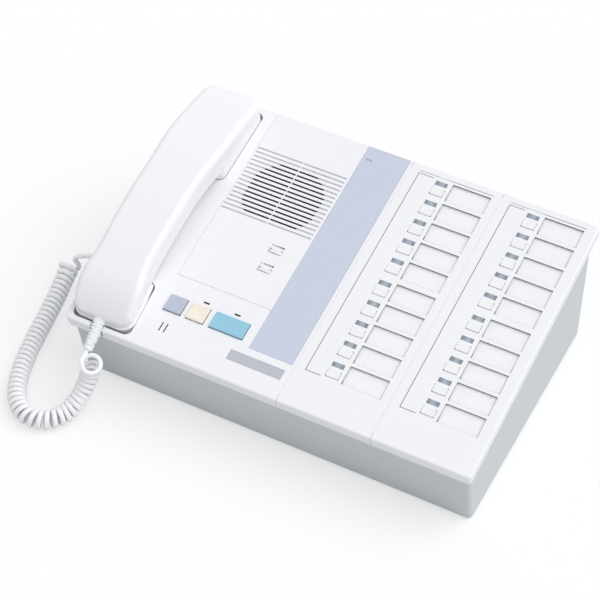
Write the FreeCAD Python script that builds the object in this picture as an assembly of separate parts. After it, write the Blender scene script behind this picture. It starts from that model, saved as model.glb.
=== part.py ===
import FreeCAD, Part
import math
import os

from FreeCAD import Vector

os.makedirs("parts", exist_ok=True)

# Desktop nurse call master station, in millimetres.
# Desk frame: X to the right, Y to the rear, Z up, desk surface at Z = 0.
# Panel frame: x to the right, y up the sloping top from its front edge, z square to the top.

# How far a cut runs past the face that it opens
over = 1.0

# Sloping top and its three covers
tilt_deg = 10.6
cover_depth = 207.0
cover_left = -147.0
main_cover_width = 158.2
selector_width = 67.0
end_skirt_extra = 1.8
front_height = 56.3
cover_wall = 2.4
cover_top = 2.5
skirt_height = 8.0
seam_gap = 0.3
cover_corner_left = 5.0
cover_corner_right = 2.5
cover_edge_round = 1.2

# Base tray
base_left_overhang = 7.0
base_right_overhang = 1.0
base_front_step = 0.6
base_rear_overhang = 12.1
base_wall = 2.4
ledge_thickness = 1.6
base_floor = 2.6
base_corner = 3.0
base_fit = 0.3

# Rubber feet
foot_radius = 6.0
foot_height = 1.5
foot_recess = 1.0
foot_side_inset = 16.0
foot_end_inset = 14.0
foot_fit = 0.1

# Case screws in bosses of the covers and pillars of the tray
boss_radius = 3.5
boss_length = 12.0
pillar_radius = 4.6
pillar_bore = 3.3
pillar_web = 3.0
screw_radius = 1.5
screw_head_radius = 2.9
screw_head_height = 2.0
screw_grip = 8.0
screw_hole_fit = 0.2
screw_tip_gap = 1.0
thread_fit = 0.05
cradle_boss_offset = 3.5
cradle_boss_front_y = 62.0
cradle_boss_well_gap = 12.8
seam_boss_offset = 7.7
seam_boss_front_y = 20.0
selector_boss_front_x = 33.2
selector_boss_front_y = 16.8
selector_boss_rear_x = 60.8
boss_rear_inset = 19.0

# Rear cable entry in the tray
cable_entry_width = 40.0
cable_entry_height = 14.0
cable_entry_x = 108.0
cable_entry_sill = 7.0
terminal_length = 46.0
terminal_depth = 12.0
terminal_height = 12.0
terminal_screw_count = 6
terminal_screw_radius = 1.6
terminal_screw_depth = 3.0
terminal_wall_gap = 6.0
terminal_screw_inset = 7.2
wire_hole_size = 3.6
wire_hole_depth = 4.0
wire_hole_sill = 2.5

# Handset cradle wells in the main cover
handset_x = -122.2
well_depth = 6.8
well_floor = 2.0
well_wall = 2.0
well_left = -143.2
front_well_front = 3.6
front_well_rear = 47.0
front_well_right_front = -98.8
front_well_right_rear = -101.6
rear_well_length = 63.2
rear_well_inset = 5.0
rear_well_right = -101.2
well_corner = 5.0
cord_notch_width = 9.6
cord_notch_depth = 6.3

# Handset: an arched shell in two halves
handset_front = 5.5
handset_end_gap = 0.5
handset_arch_radius = 300.0
handset_arch_shift = 2.5
handset_arch_top = 32.6
grip_under_radius = 198.5
grip_under_top = 10.5
parting_radius = 240.0
parting_top = 23.6
nose_radius = 45.0
nose_start_y = 32.0
nose_reach = 3.0
tail_radius = 12.0
tail_start_inset = 3.5
tail_reach = 4.0
handset_bottom = -6.5
mouth_length = 34.0
ear_length = 55.0
head_slope = 8.0
mouth_half_width = 22.3
grip_half_width = 18.4
mouth_straight = 4.0
waist_length = 34.0
ear_straight_lap = 12.0
flank_ease = 0.4
ear_half_width = 21.0
handset_corner = 9.0
handset_plan_height = 12.0
handset_draft_deg = 7.5
handset_top_round = 4.5
handset_bottom_round = 1.5
handset_wall = 2.2
cradle_fit = 0.45
mouth_foot_top = -0.3
handset_parting_step = 0.35
ear_hole_radius = 1.0
ear_hole_ring = 6.0
ear_hole_count = 6
mouth_slot_length = 9.0
mouth_slot_width = 1.4
mouth_slot_pitch = 3.2
receiver_radius = 14.0
receiver_height = 7.0
transmitter_radius = 4.9
transmitter_height = 6.0
ear_centre_inset = 28.5
mouth_centre_y = 24.0

# Speaker grille
grille_rows = 16
grille_pitch = 3.61
grille_front_reach = 23.3
grille_left = -92.4
grille_right = -24.6
grille_slot = 1.4
grille_groove_depth = 0.8
grille_rib = 0.8
grille_open_first = 1
grille_open_last = 13
speaker_x = -57.6
speaker_rear_inset = 63.0
speaker_open_radius = 28.0
speaker_open_flat = 26.3
speaker_frame_radius = 33.0
speaker_flange = 1.2
speaker_depth = 16.0
magnet_radius = 15.0
magnet_height = 7.0
cone_wall = 0.5
speaker_mouth_margin = 0.5
speaker_throat = 9.9
basket_wall = 1.4
basket_throat_wall = 3.4
spider_thickness = 1.2
surround_seat = 0.6
surround_width = 2.5
surround_thickness = 0.4
cone_lift = 2.0
cap_radius = 11.4
cap_height = 2.2
stake_count = 4
stake_radius = 1.6
stake_head_radius = 2.8
stake_head_height = 1.2
stake_fit = 0.3

# Grooves that outline the speaker panel
groove_width = 0.5
groove_depth = 0.5
panel_line_x = -93.4
panel_line_y = 59.6

# Speech keys: off, all call, talk
key_y = 37.8
key_length = 12.5
key_width = 12.6
talk_key_width = 24.6
off_key_x = -82.3
all_call_key_x = -65.4
talk_key_x = -42.1
key_rise = 1.6
key_travel = 1.5
key_fit = 0.35
key_corner = 0.8
key_edge_round = 0.5
key_flange = 1.2
key_flange_thickness = 1.4
key_stem = 4.0
running_gap = 0.3

# Lamps beside the speech keys, and the power lamp
key_lamp_length = 4.4
key_lamp_width = 1.4
all_call_lamp_x = -64.2
talk_lamp_x = -41.2
key_lamp_y = 47.4
power_lamp_x = -17.7
power_lamp_inset = 11.6
lamp_recess = 0.15
lamp_fit = 0.1
lamp_flange = 0.7
lamp_flange_thickness = 1.0
lens_reach = 2.0

# Microphone slots and capsule
mic_slot_x = (-83.3, -79.8)
mic_slot_y = 19.2
mic_slot_length = 7.0
mic_slot_width = 0.9
mic_radius = 3.4
mic_height = 5.5

# Thumbwheel volume controls
wheel_x = -41.5
wheel_speaker_gap = 42.0
wheel_pitch = 15.9
wheel_window_width = 3.5
wheel_radius = 9.0
wheel_thickness = 2.9
wheel_rise = 1.1
wheel_fit = 0.35
wheel_teeth = 30
wheel_flute_radius = 0.45
wheel_flute_out = 0.11
wheel_shaft_radius = 1.5
wheel_shaft_length = 3.6
wheel_shaft_fit = 0.05
pot_width = 10.0
pot_depth = 4.5
pot_gap = 0.6
shaft_end_gap = 0.3
scale_bars = 5
scale_pitch = 2.0
scale_height = 0.25
scale_bar_width = 1.5
scale_first_bar = 0.35
scale_bar_growth = 0.22
scale_offset = 4.4

# Colour strip and blank rating plate
strip_left = -22.7
strip_width = 31.7
strip_front = 28.0
strip_thickness = 0.9
strip_fit = 0.15
strip_rear_margin = 0.8
plate_left = -32.7
plate_width = 39.4
plate_front = 14.9
plate_length = 7.7
plate_thickness = 0.4

# Selector modules: rows of lamp, call button and name card
row_pitch = 17.2
row_front_inset = 26.5
row_group = 5
row_group_gap = 1.8
row_rear_inset = 7.5
card_left = 32.6
card_width = 28.0
card_length = 14.8
card_rear_drop = 0.7
card_thickness = 0.25
window_thickness = 0.8
card_gap = 0.3
lamp_left = 20.7
lamp_width = 8.7
lamp_length = 3.6
lamp_centre_drop = 3.0
lamp_depth = 6.0
call_left = 20.5
call_width = 9.0
call_length = 5.9
call_centre_drop = 10.0
call_rise = 0.7
call_travel = 0.7
call_fit = 0.25
call_corner = 0.7
call_edge_round = 0.3
call_flange = 0.7
call_flange_thickness = 1.0
call_stem = 3.0
bracket_left = 7.0
bracket_width = 10.9
bracket_front_y = 28.7
frame_line_offset = 1.9
frame_line_width = 0.4
frame_line_margin = 0.8

# Circuit boards and switches
board_thickness = 1.6
main_board_left = -93.0
main_board_right = -3.0
main_board_front = 14.0
main_board_speaker_gap = 34.0
main_board_drop = 18.0
selector_board_left = 5.0
selector_board_right = 54.0
selector_board_front = 24.0
selector_board_inset = 15.8
selector_board_drop = 10.5
key_switch_size = 6.0
key_switch_height = 3.6
call_switch_size = 4.2
call_switch_height = 3.4
post_radius = 2.6
board_screw_head_radius = 2.2
board_screw_head_height = 1.4
board_screw_radius = 1.1
board_screw_grip = 5.0
board_screw_tip_gap = 0.6
board_hole_fit = 0.2
post_edge = 5.0
switch_body_share = 0.8
switch_plunger_share = 0.28

# Hook button under the earpiece
hook_x = -122.2
hook_well_inset = 13.2
hook_width = 9.0
hook_length = 14.0
hook_rise = 3.0
hook_fit = 0.3
hook_flange = 1.5
hook_flange_thickness = 1.4
hook_switch_gap = 0.6
hook_plate_x = 28.0
hook_plate_y = 26.0
hook_post_margin = 0.4
hook_switch_size = 8.0
hook_switch_height = 5.0

# Modular jack in the left wall, its plug and the handset's strain relief
jack_y = -19.0
jack_z = 25.0
jack_length = 18.0
jack_size = 14.0
jack_wall_hole = 12.0
plug_width = 9.6
plug_height = 8.0
plug_length = 13.0
plug_fit = 0.15
boot_radius = 3.2
boot_length = 12.0
boot_slimming = 0.9
boot_gap = 1.0
plug_lap = 0.5
relief_start_y = 7.2
relief_start_z = 0.7
relief_drop_deg = 21.7
relief_length = 22.0
relief_radius_wide = 4.1
relief_radius_slim = 3.3
relief_rib_count = 4
relief_rib_depth = 0.5
relief_rib_start = 8.4
relief_rib_pitch = 3.1
relief_rib_gap = 1.1
relief_core_fit = 0.3
relief_tail = 8.1
relief_lap = 0.9
relief_fit = 0.1

# Curly cord
wire_diameter = 3.2
curl_radius = 5.2
curl_pitch = 3.85
curl_clear = 0.5
curl_start_deg = 153.0
curl_end_deg = 180.0
flare_length = 14.0
flare_radius = 1.2
flare_pitch = 2.0
arc_trim = 0.45
route_steps = 1600
heading_step = 0.002
gap_spacing = 1.1
gap_skip_turns = 0.55
cord_route = [
    (-115.2, -120.6, 43.4),
    (-117.0, -121.2, 30.0),
    (-120.5, -127.0, 17.0),
    (-124.5, -139.0, 8.8),
    (-132.5, -151.0, 7.3),
    (-146.5, -155.5, 7.1),
    (-160.5, -147.0, 7.1),
    (-170.0, -131.0, 7.1),
    (-176.5, -110.0, 7.1),
    (-180.8, -88.5, 7.3),
    (-184.3, -66.5, 8.2),
    (-187.5, -45.5, 11.0),
    (-190.3, -28.5, 16.5),
]

# Values worked out from the sizes above
tilt = math.radians(tilt_deg)
cover_right = cover_left + main_cover_width + 2.0 * selector_width + end_skirt_extra
seam_1 = cover_left + main_cover_width
seam_2 = seam_1 + selector_width
overhang_y = skirt_height * math.sin(tilt)
front_round_in = cover_edge_round * (math.cos(tilt) + math.sin(tilt) - 1.0)
desk_depth = cover_depth * math.cos(tilt) + overhang_y
front_y = -(desk_depth + front_round_in) / 2.0
rear_y = front_y + desk_depth
base_left = cover_left + base_left_overhang
base_right = cover_right - base_right_overhang
base_rear_y = rear_y - base_rear_overhang
well_shell = well_depth + well_floor
rear_well_rear = cover_depth - rear_well_inset
rear_well_front = rear_well_rear - rear_well_length
cradle_boss_rear_y = rear_well_front - cradle_boss_well_gap
boss_rear_y = cover_depth - boss_rear_inset
hook_y = rear_well_front + hook_well_inset
handset_rear = rear_well_rear - handset_end_gap
handset_arch_y = (handset_front + handset_rear) / 2.0 + handset_arch_shift
tail_start_y = handset_rear - tail_start_inset
ear_centre_y = handset_rear - ear_centre_inset
speaker_y = cover_depth - speaker_rear_inset
grille_first_y = speaker_y - grille_front_reach
ring_wheel_y = speaker_y - wheel_speaker_gap
receive_wheel_y = ring_wheel_y - wheel_pitch
main_board_rear = speaker_y - main_board_speaker_gap
power_lamp_y = cover_depth - power_lamp_inset
first_row_y = cover_depth - row_rear_inset
row_count = int((first_row_y - row_front_inset) / row_pitch)
selector_board_rear = cover_depth - selector_board_inset


def panel_point(x, y, z):
    """Desk-frame point of a panel-frame point."""
    return Vector(
        x,
        front_y + y * math.cos(tilt) - z * math.sin(tilt),
        front_height + y * math.sin(tilt) + z * math.cos(tilt),
    )


def to_desk(shape):
    """Turn a panel-frame shape into the desk frame."""
    placed = shape.copy()
    turn = FreeCAD.Placement(
        panel_point(0, 0, 0), FreeCAD.Rotation(Vector(1, 0, 0), tilt_deg)
    )
    placed.Placement = turn.multiply(placed.Placement)
    return placed


def to_panel(shape):
    """Turn a desk-frame shape into the panel frame."""
    placed = shape.copy()
    turn = FreeCAD.Placement(
        panel_point(0, 0, 0), FreeCAD.Rotation(Vector(1, 0, 0), tilt_deg)
    )
    placed.Placement = turn.inverse().multiply(placed.Placement)
    return placed


def box(x0, x1, y0, y1, z0, z1):
    return Part.makeBox(x1 - x0, y1 - y0, z1 - z0, Vector(x0, y0, z0))


def centred_box(x, y, width, length, z0, z1):
    return box(x - width / 2, x + width / 2, y - length / 2, y + length / 2, z0, z1)


def cylinder(x, y, z0, z1, radius):
    return Part.makeCylinder(radius, z1 - z0, Vector(x, y, z0))


def upright_edges(shape):
    """Straight edges along Z."""
    found = []
    for edge in shape.Edges:
        if not isinstance(edge.Curve, (Part.Line, Part.LineSegment)):
            continue
        run = edge.Vertexes[-1].Point.sub(edge.Vertexes[0].Point)
        if abs(run.x) < 1e-6 and abs(run.y) < 1e-6:
            found.append(edge)
    return found


def edges_at_z(shape, z):
    """Edges that lie in the plane at height z."""
    found = []
    for edge in shape.Edges:
        bound = edge.BoundBox
        if abs(bound.ZMin - z) < 1e-5 and abs(bound.ZMax - z) < 1e-5:
            found.append(edge)
    return found


def soft_box(x0, x1, y0, y1, z0, z1, corner, top_round):
    """Block with rounded corners and a rounded top rim."""
    block = box(x0, x1, y0, y1, z0, z1)
    block = block.makeFillet(corner, upright_edges(block))
    return block.makeFillet(top_round, edges_at_z(block, z1))


def round_box(x0, x1, y0, y1, z0, z1, corner):
    """Block with rounded corners and flat ends."""
    block = box(x0, x1, y0, y1, z0, z1)
    return block.makeFillet(corner, upright_edges(block))


def prism_x(profile, x0, x1):
    """Closed outline of (y, z) points drawn along X."""
    points = [Vector(x0, y, z) for y, z in profile]
    points.append(points[0])
    face = Part.Face(Part.makePolygon(points))
    return face.extrude(Vector(x1 - x0, 0, 0))


def fused(shapes):
    whole = shapes[0]
    if len(shapes) > 1:
        whole = whole.fuse(shapes[1:])
    return whole.removeSplitter()


def save(name, shape):
    """Write one node, and print its solids and volume."""
    solids = shape.Solids
    shape = solids[0] if len(solids) == 1 else Part.makeCompound(solids)
    shape.exportStep("parts/" + name + ".step")
    volume = sum(solid.Volume for solid in solids)
    state = "ok" if shape.isValid() else "INVALID"
    print(f"{name}: {len(solids)} solid(s), {volume:.1f} mm3, {state}")


def row_y(row):
    """Rear edge of a name card row."""
    gap = row_group_gap if row >= row_group else 0.0
    return first_row_y - row * row_pitch - gap


# Case screws: panel position of each boss axis at the underside of its cover
main_bosses = [
    (handset_x + cradle_boss_offset, cradle_boss_front_y),
    (handset_x + cradle_boss_offset, cradle_boss_rear_y),
    (seam_1 - seam_boss_offset, seam_boss_front_y),
    (seam_1 - seam_boss_offset, boss_rear_y),
]


def selector_bosses(left):
    return [
        (left + selector_boss_front_x, selector_boss_front_y),
        (left + selector_boss_rear_x, boss_rear_y),
    ]


def boss_foot(x, y):
    """Desk-frame point where the cover boss meets the tray pillar."""
    top = panel_point(x, y, -cover_top)
    return Vector(top.x, top.y, top.z - boss_length)


def cover_boss(x, y):
    """Upright boss under a cover, in the panel frame, with its screw hole."""
    foot = boss_foot(x, y)
    tall = boss_length + boss_radius
    solid = cylinder(foot.x, foot.y, foot.z, foot.z + tall, boss_radius)
    depth = screw_grip + screw_tip_gap
    hole = cylinder(foot.x, foot.y, foot.z, foot.z + depth, screw_radius + thread_fit)
    solid = to_panel(solid.cut(hole))
    reach = 4.0 * boss_radius
    above = box(x - reach, x + reach, y - reach, y + reach, -cover_top / 2, reach)
    return solid.cut(above)


def board_posts(spots, drop):
    """Posts from a cover down to a board, with blind screw holes."""
    posts = []
    for x, y in spots:
        post = cylinder(x, y, -drop, -cover_top / 2, post_radius)
        depth = board_screw_grip + board_screw_tip_gap
        hole = cylinder(x, y, -drop, -drop + depth, board_screw_radius + thread_fit)
        posts.append(post.cut(hole))
    return posts


def rear_ledge(x0, x1):
    """Shelf inside the rear skirt that closes the overhang behind the tray."""
    wall_top = base_rear_y - base_wall / 2
    front = (wall_top - front_y - skirt_height * math.sin(tilt)) / math.cos(tilt)
    return box(
        x0,
        x1,
        front,
        cover_depth - cover_wall / 2,
        -skirt_height,
        -skirt_height + ledge_thickness,
    )


def cover_blank(x0, x1, round_left, round_right):
    """Open-bottomed lid with a short skirt on all four sides."""
    lid = box(x0, x1, 0, cover_depth, -skirt_height, 0)
    corners = []
    if round_left:
        corners.append((x0, cover_corner_left))
    if round_right:
        corners.append((x1, cover_corner_right))
    for x, radius in corners:
        picked = [e for e in upright_edges(lid) if abs(e.Vertexes[0].X - x) < 1e-6]
        lid = lid.makeFillet(radius, picked)
    rim = []
    for edge in edges_at_z(lid, 0.0):
        middle = edge.CenterOfMass
        on_seam_left = abs(middle.x - x0) < 1e-6 and not round_left
        on_seam_right = abs(middle.x - x1) < 1e-6 and not round_right
        if not on_seam_left and not on_seam_right:
            rim.append(edge)
    lid = lid.makeFillet(cover_edge_round, rim)
    inside = box(
        x0 + cover_wall,
        x1 - cover_wall,
        cover_wall,
        cover_depth - cover_wall,
        -skirt_height - over,
        -cover_top,
    )
    inside = inside.makeFillet(cover_edge_round, upright_edges(inside))
    return lid.cut(inside)


def front_well_shape(grow, z0, z1):
    """Mouthpiece well, grown on its sides by grow, with a slanted right side."""
    corners = [
        (well_left - grow, front_well_front - grow),
        (front_well_right_front + grow, front_well_front - grow),
        (front_well_right_rear + grow, front_well_rear + grow),
        (well_left - grow, front_well_rear + grow),
    ]
    points = [Vector(x, y, z0) for x, y in corners]
    points.append(points[0])
    well = Part.Face(Part.makePolygon(points)).extrude(Vector(0, 0, z1 - z0))
    return well.makeFillet(well_corner, upright_edges(well))


def rear_well_shape(grow, z0, z1):
    """Earpiece well, grown on its sides by grow."""
    return round_box(
        well_left - grow,
        rear_well_right + grow,
        rear_well_front - grow,
        rear_well_rear + grow,
        z0,
        z1,
        well_corner,
    )


def grille_cuts():
    """Full-width grooves, and through slots in front of the speaker."""
    cuts = []
    disc = cylinder(speaker_x, speaker_y, -cover_top - over, over, speaker_open_radius)
    flat = centred_box(
        speaker_x,
        speaker_y,
        2 * speaker_open_flat,
        3 * speaker_open_radius,
        -cover_top - over,
        over,
    )
    opening = disc.common(flat)
    rib = grille_rib / 2
    for row in range(grille_rows):
        y = grille_first_y + row * grille_pitch
        for x0, x1 in ((grille_left, speaker_x - rib), (speaker_x + rib, grille_right)):
            middle = (x0 + x1) / 2
            cuts.append(
                centred_box(middle, y, x1 - x0, grille_slot, -grille_groove_depth, over)
            )
            if grille_open_first <= row <= grille_open_last:
                slot = centred_box(middle, y, x1 - x0, grille_slot, -cover_top - over, over)
                cuts.append(slot.common(opening))
    return cuts


def key_hole(x, width, length, fit):
    return centred_box(x, key_y, width + 2 * fit, length + 2 * fit, -cover_top - over, over)


def key_spots():
    return [
        ("off_button", off_key_x, key_width),
        ("all_call_button", all_call_key_x, key_width),
        ("talk_button", talk_key_x, talk_key_width),
    ]


def wheel_spots():
    return [
        ("ring_volume_wheel", ring_wheel_y),
        ("receive_volume_wheel", receive_wheel_y),
    ]


def main_board_posts():
    return [
        (main_board_left + post_edge, main_board_front + post_edge),
        (main_board_left + post_edge, main_board_rear - post_edge),
        (main_board_right - post_edge, main_board_front + 4 * post_edge),
        (main_board_right - post_edge, main_board_rear - post_edge),
    ]


def selector_board_posts(left):
    x0 = left + selector_board_left + post_edge
    x1 = left + selector_board_right - post_edge
    y0 = selector_board_front + post_edge
    y1 = selector_board_rear - post_edge
    return [(x0, y0), (x0, y1), (x1, y0), (x1, y1)]


def hook_posts():
    """Posts that carry the hook switch plate under the earpiece well."""
    x = hook_plate_x / 2 - post_radius - hook_post_margin
    y = hook_plate_y / 2 - post_radius - hook_post_margin
    return [(hook_x + sx * x, hook_y + sy * y) for sx in (-1, 1) for sy in (-1, 1)]


hook_flange_top = -well_shell - hook_rise - running_gap
hook_bottom = hook_flange_top - hook_flange_thickness
hook_switch_top = hook_bottom - hook_switch_gap
hook_plate_top = hook_switch_top - hook_switch_height


def make_main_cover():
    """Main cover: cradle wells, speaker grille, key, wheel and lamp openings."""
    x1 = seam_1 - seam_gap / 2
    cover = cover_blank(cover_left, x1, True, False)
    tubs = [
        front_well_shape(well_wall, -well_shell, -cover_top / 2),
        rear_well_shape(well_wall, -well_shell, -cover_top / 2),
    ]
    footprint = box(
        cover_left + cover_wall / 2,
        x1,
        cover_wall / 2,
        cover_depth - cover_wall / 2,
        -2 * well_shell,
        0,
    )
    tubs = [tub.common(footprint) for tub in tubs]
    extras = [cover_boss(x, y) for x, y in main_bosses]
    extras.append(rear_ledge(rear_well_right + well_wall / 2, x1 - cover_wall / 2))
    extras += board_posts(main_board_posts(), main_board_drop)
    extras += speaker_stakes()
    for x, y in hook_posts():
        post = cylinder(x, y, hook_plate_top, -well_shell + well_floor / 2, post_radius)
        hole = cylinder(
            x,
            y,
            hook_plate_top,
            hook_plate_top + board_screw_grip,
            board_screw_radius + thread_fit,
        )
        extras.append(post.cut(hole))
    cover = fused([cover] + tubs + extras)
    cuts = [
        front_well_shape(0, -well_depth, over),
        rear_well_shape(0, -well_depth, over),
        centred_box(
            hook_x,
            hook_y,
            hook_width + 2 * hook_fit,
            hook_length + 2 * hook_fit,
            -well_shell - over,
            0,
        ),
        box(
            handset_x - cord_notch_width / 2,
            handset_x + cord_notch_width / 2,
            -over,
            front_well_front + over,
            -cord_notch_depth,
            over,
        ),
    ]
    cuts += grille_cuts()
    for _, x, width in key_spots():
        cuts.append(key_hole(x, width, key_length, key_fit))
    for x, y, length, width in key_lamps() + [power_lamp()]:
        cuts.append(centred_box(x, y, length, width, -cover_top - over, over))
    for x in mic_slot_x:
        cuts.append(
            centred_box(x, mic_slot_y, mic_slot_width, mic_slot_length, -cover_top - over, over)
        )
    for _, y in wheel_spots():
        cuts.append(
            Part.makeCylinder(
                wheel_radius + wheel_fit,
                wheel_window_width,
                Vector(wheel_x, y - wheel_window_width / 2, wheel_rise - wheel_radius),
                Vector(0, 1, 0),
            )
        )
    cuts.append(
        box(
            strip_left,
            strip_left + strip_width,
            strip_front,
            cover_depth - strip_rear_margin,
            -strip_thickness,
            over,
        )
    )
    cuts.append(
        box(
            plate_left,
            plate_left + plate_width,
            plate_front,
            plate_front + plate_length,
            -plate_thickness,
            over,
        )
    )
    cuts.append(
        box(
            panel_line_x,
            panel_line_x + groove_width,
            panel_line_y,
            cover_depth + over,
            -groove_depth,
            over,
        )
    )
    cuts.append(
        box(
            panel_line_x,
            strip_left,
            panel_line_y,
            panel_line_y + groove_width,
            -groove_depth,
            over,
        )
    )
    cover = cover.cut(cuts)
    bars = []
    for _, y in wheel_spots():
        for bar in range(scale_bars):
            length = scale_first_bar + scale_bar_growth * bar
            x = wheel_x - (scale_bars - 1) * scale_pitch / 2 + bar * scale_pitch
            y_bar = y + scale_offset
            bars.append(
                centred_box(x, y_bar, scale_bar_width, length, -scale_height, scale_height)
            )
    return fused([cover] + bars)


def key_lamps():
    return [
        (all_call_lamp_x, key_lamp_y, key_lamp_length, key_lamp_width),
        (talk_lamp_x, key_lamp_y, key_lamp_length, key_lamp_width),
    ]


def power_lamp():
    return (power_lamp_x, power_lamp_y, key_lamp_length, key_lamp_width)


def lens(x, y, length, width, fit, flange, flange_top, bottom, top):
    """Light pipe with a retaining flange under the cover."""
    body = centred_box(x, y, length - 2 * fit, width - 2 * fit, bottom, top)
    rim = centred_box(
        x,
        y,
        length + 2 * flange,
        width + 2 * flange,
        flange_top - lamp_flange_thickness,
        flange_top,
    )
    return fused([body, rim])


def make_selector_cover(left, right, is_end):
    """Selector cover: lamp windows, button holes and sloping card pockets."""
    x0 = left + seam_gap / 2
    x1 = right if is_end else right - seam_gap / 2
    cover = cover_blank(x0, x1, False, is_end)
    extras = [cover_boss(x, y) for x, y in selector_bosses(left)]
    extras.append(rear_ledge(x0 + cover_wall / 2, x1 - cover_wall / 2))
    extras += board_posts(selector_board_posts(left), selector_board_drop)
    cover = fused([cover] + extras)
    cuts = []
    for row in range(row_count):
        y = row_y(row)
        cuts.append(
            centred_box(
                left + lamp_left + lamp_width / 2,
                y - lamp_centre_drop,
                lamp_width,
                lamp_length,
                -cover_top - over,
                over,
            )
        )
        cuts.append(
            centred_box(
                left + call_left + call_width / 2,
                y - call_centre_drop,
                call_width + 2 * call_fit,
                call_length + 2 * call_fit,
                -cover_top - over,
                over,
            )
        )
        cuts.append(card_pocket(left, y))
    cuts += bracket_lines(left)
    return cover.cut(cuts)


card_stack = card_thickness + window_thickness


def card_slab(left, y, low, high, margin):
    """Slab parallel to the pocket floor, between two heights above it."""
    x0 = left + card_left + margin
    x1 = left + card_left + card_width - margin
    rear = y - margin
    front = y - card_length
    slope = card_rear_drop / card_length
    rear_floor = -card_stack - card_rear_drop + slope * margin
    front_floor = -card_stack
    outline = [
        (front, front_floor + low),
        (rear, rear_floor + low),
        (rear, rear_floor + high),
        (front, front_floor + high),
    ]
    return prism_x(outline, x0, x1)


def card_pocket(left, y):
    return card_slab(left, y, 0.0, card_stack + card_rear_drop + over, 0.0)


def bracket_lines(left):
    """Fine grooves that outline the number strip and the card field."""
    x0 = left + bracket_left
    x1 = x0 + bracket_width
    rear = first_row_y
    front = bracket_front_y
    field_right = left + card_left + card_width + frame_line_margin
    frame = rear + frame_line_offset
    half = groove_width / 2
    lines = [
        (x0 - half, x0 + half, front - half, rear + half),
        (x0 - half, x1, rear - half, rear + half),
        (x0 - half, x1, front - half, front + half),
        (x0, field_right, frame, frame + frame_line_width),
    ]
    return [box(a, b, c, d, -groove_depth, over) for a, b, c, d in lines]


def tray_outline(wall, floor, rise):
    """Side of the tray as (y, z), inset by wall and floor, its slope raised by rise."""
    top = panel_point(0, base_front_step + wall, -skirt_height)
    low = foot_height + floor
    rear = base_rear_y - wall
    rear_top = top.z + (rear - top.y) * math.tan(tilt)
    return [
        (top.y - rise * math.sin(tilt), top.z + rise * math.cos(tilt)),
        (top.y + (top.z - low) * math.tan(tilt), low),
        (rear, low),
        (rear, rear_top + rise / math.cos(tilt)),
    ]


def make_base():
    """Grey tray: sloping front, upright rear, floor, pillars, cable entry."""
    raised = skirt_height - cover_top - base_fit
    reach = 2 * skirt_height
    shell = prism_x(tray_outline(0.0, 0.0, raised), base_left, base_right)
    corners = []
    for edge in shell.Edges:
        run = edge.Vertexes[-1].Point.sub(edge.Vertexes[0].Point)
        if abs(run.x) < 1e-6 and abs(run.z) > 3 * abs(run.y):
            corners.append(edge)
    shell = shell.makeFillet(base_corner, corners)
    hollow = prism_x(
        tray_outline(base_wall, base_floor, 2 * raised),
        base_left + base_wall,
        base_right - base_wall,
    )
    tray = shell.cut(hollow)
    lowered = to_desk(
        box(
            base_left + base_wall,
            cover_right,
            -reach,
            cover_depth + reach,
            -skirt_height,
            reach,
        )
    )
    front_strip = to_desk(
        box(
            cover_left,
            base_left + 2 * base_wall,
            -reach,
            cover_wall + base_fit,
            -skirt_height,
            reach,
        )
    )
    tub_clearance = [
        to_desk(front_well_shape(well_wall + base_fit, -well_shell - base_fit, reach)),
        to_desk(rear_well_shape(well_wall + base_fit, -well_shell - base_fit, reach)),
    ]
    tray = tray.cut([lowered, front_strip] + tub_clearance)
    pillars = []
    bores = []
    for x, y in all_bosses():
        foot = boss_foot(x, y)
        low = foot_height
        pillars.append(cylinder(foot.x, foot.y, low, foot.z, pillar_radius))
        bores.append(
            cylinder(foot.x, foot.y, low - over, foot.z - pillar_web, pillar_bore)
        )
        bores.append(
            cylinder(foot.x, foot.y, low, foot.z + over, screw_radius + screw_hole_fit)
        )
    tray = fused([tray] + pillars)
    for x, y in foot_spots():
        top = foot_height + foot_recess
        bores.append(cylinder(x, y, foot_height - over, top, foot_radius + foot_fit))
    entry = box(
        cable_entry_x - cable_entry_width / 2,
        cable_entry_x + cable_entry_width / 2,
        base_rear_y - base_wall - over,
        base_rear_y + over,
        cable_entry_sill,
        cable_entry_sill + cable_entry_height,
    )
    jack_hole = box(
        base_left - over,
        base_left + base_wall + over,
        jack_y - jack_wall_hole / 2,
        jack_y + jack_wall_hole / 2,
        jack_z - jack_wall_hole / 2,
        jack_z + jack_wall_hole / 2,
    )
    return tray.cut(bores + [entry, jack_hole])


def all_bosses():
    return main_bosses + selector_bosses(seam_1) + selector_bosses(seam_2)


def foot_spots():
    bottom_front = panel_point(0, base_front_step, -skirt_height)
    lean = (bottom_front.z - foot_height) * math.tan(tilt)
    y0 = bottom_front.y + lean + foot_end_inset
    y1 = base_rear_y - foot_end_inset
    x0 = base_left + foot_side_inset
    x1 = base_right - foot_side_inset
    return [(x0, y0), (x1, y0), (x0, y1), (x1, y1)]


def make_feet():
    return [
        cylinder(x, y, 0, foot_height + foot_recess, foot_radius)
        for x, y in foot_spots()
    ]


def make_case_screws():
    screws = []
    for x, y in all_bosses():
        foot = boss_foot(x, y)
        seat = foot.z - pillar_web
        head = cylinder(foot.x, foot.y, seat - screw_head_height, seat, screw_head_radius)
        shank = cylinder(foot.x, foot.y, seat, foot.z + screw_grip, screw_radius)
        screws.append(fused([head, shank]))
    return screws


def board_screw(x, y, under_board):
    """Small screw from under a board up into its post."""
    head = cylinder(
        x, y, under_board - board_screw_head_height, under_board, board_screw_head_radius
    )
    shank = cylinder(
        x,
        y,
        under_board,
        under_board + board_thickness + board_screw_grip,
        board_screw_radius,
    )
    return fused([head, shank])


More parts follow.
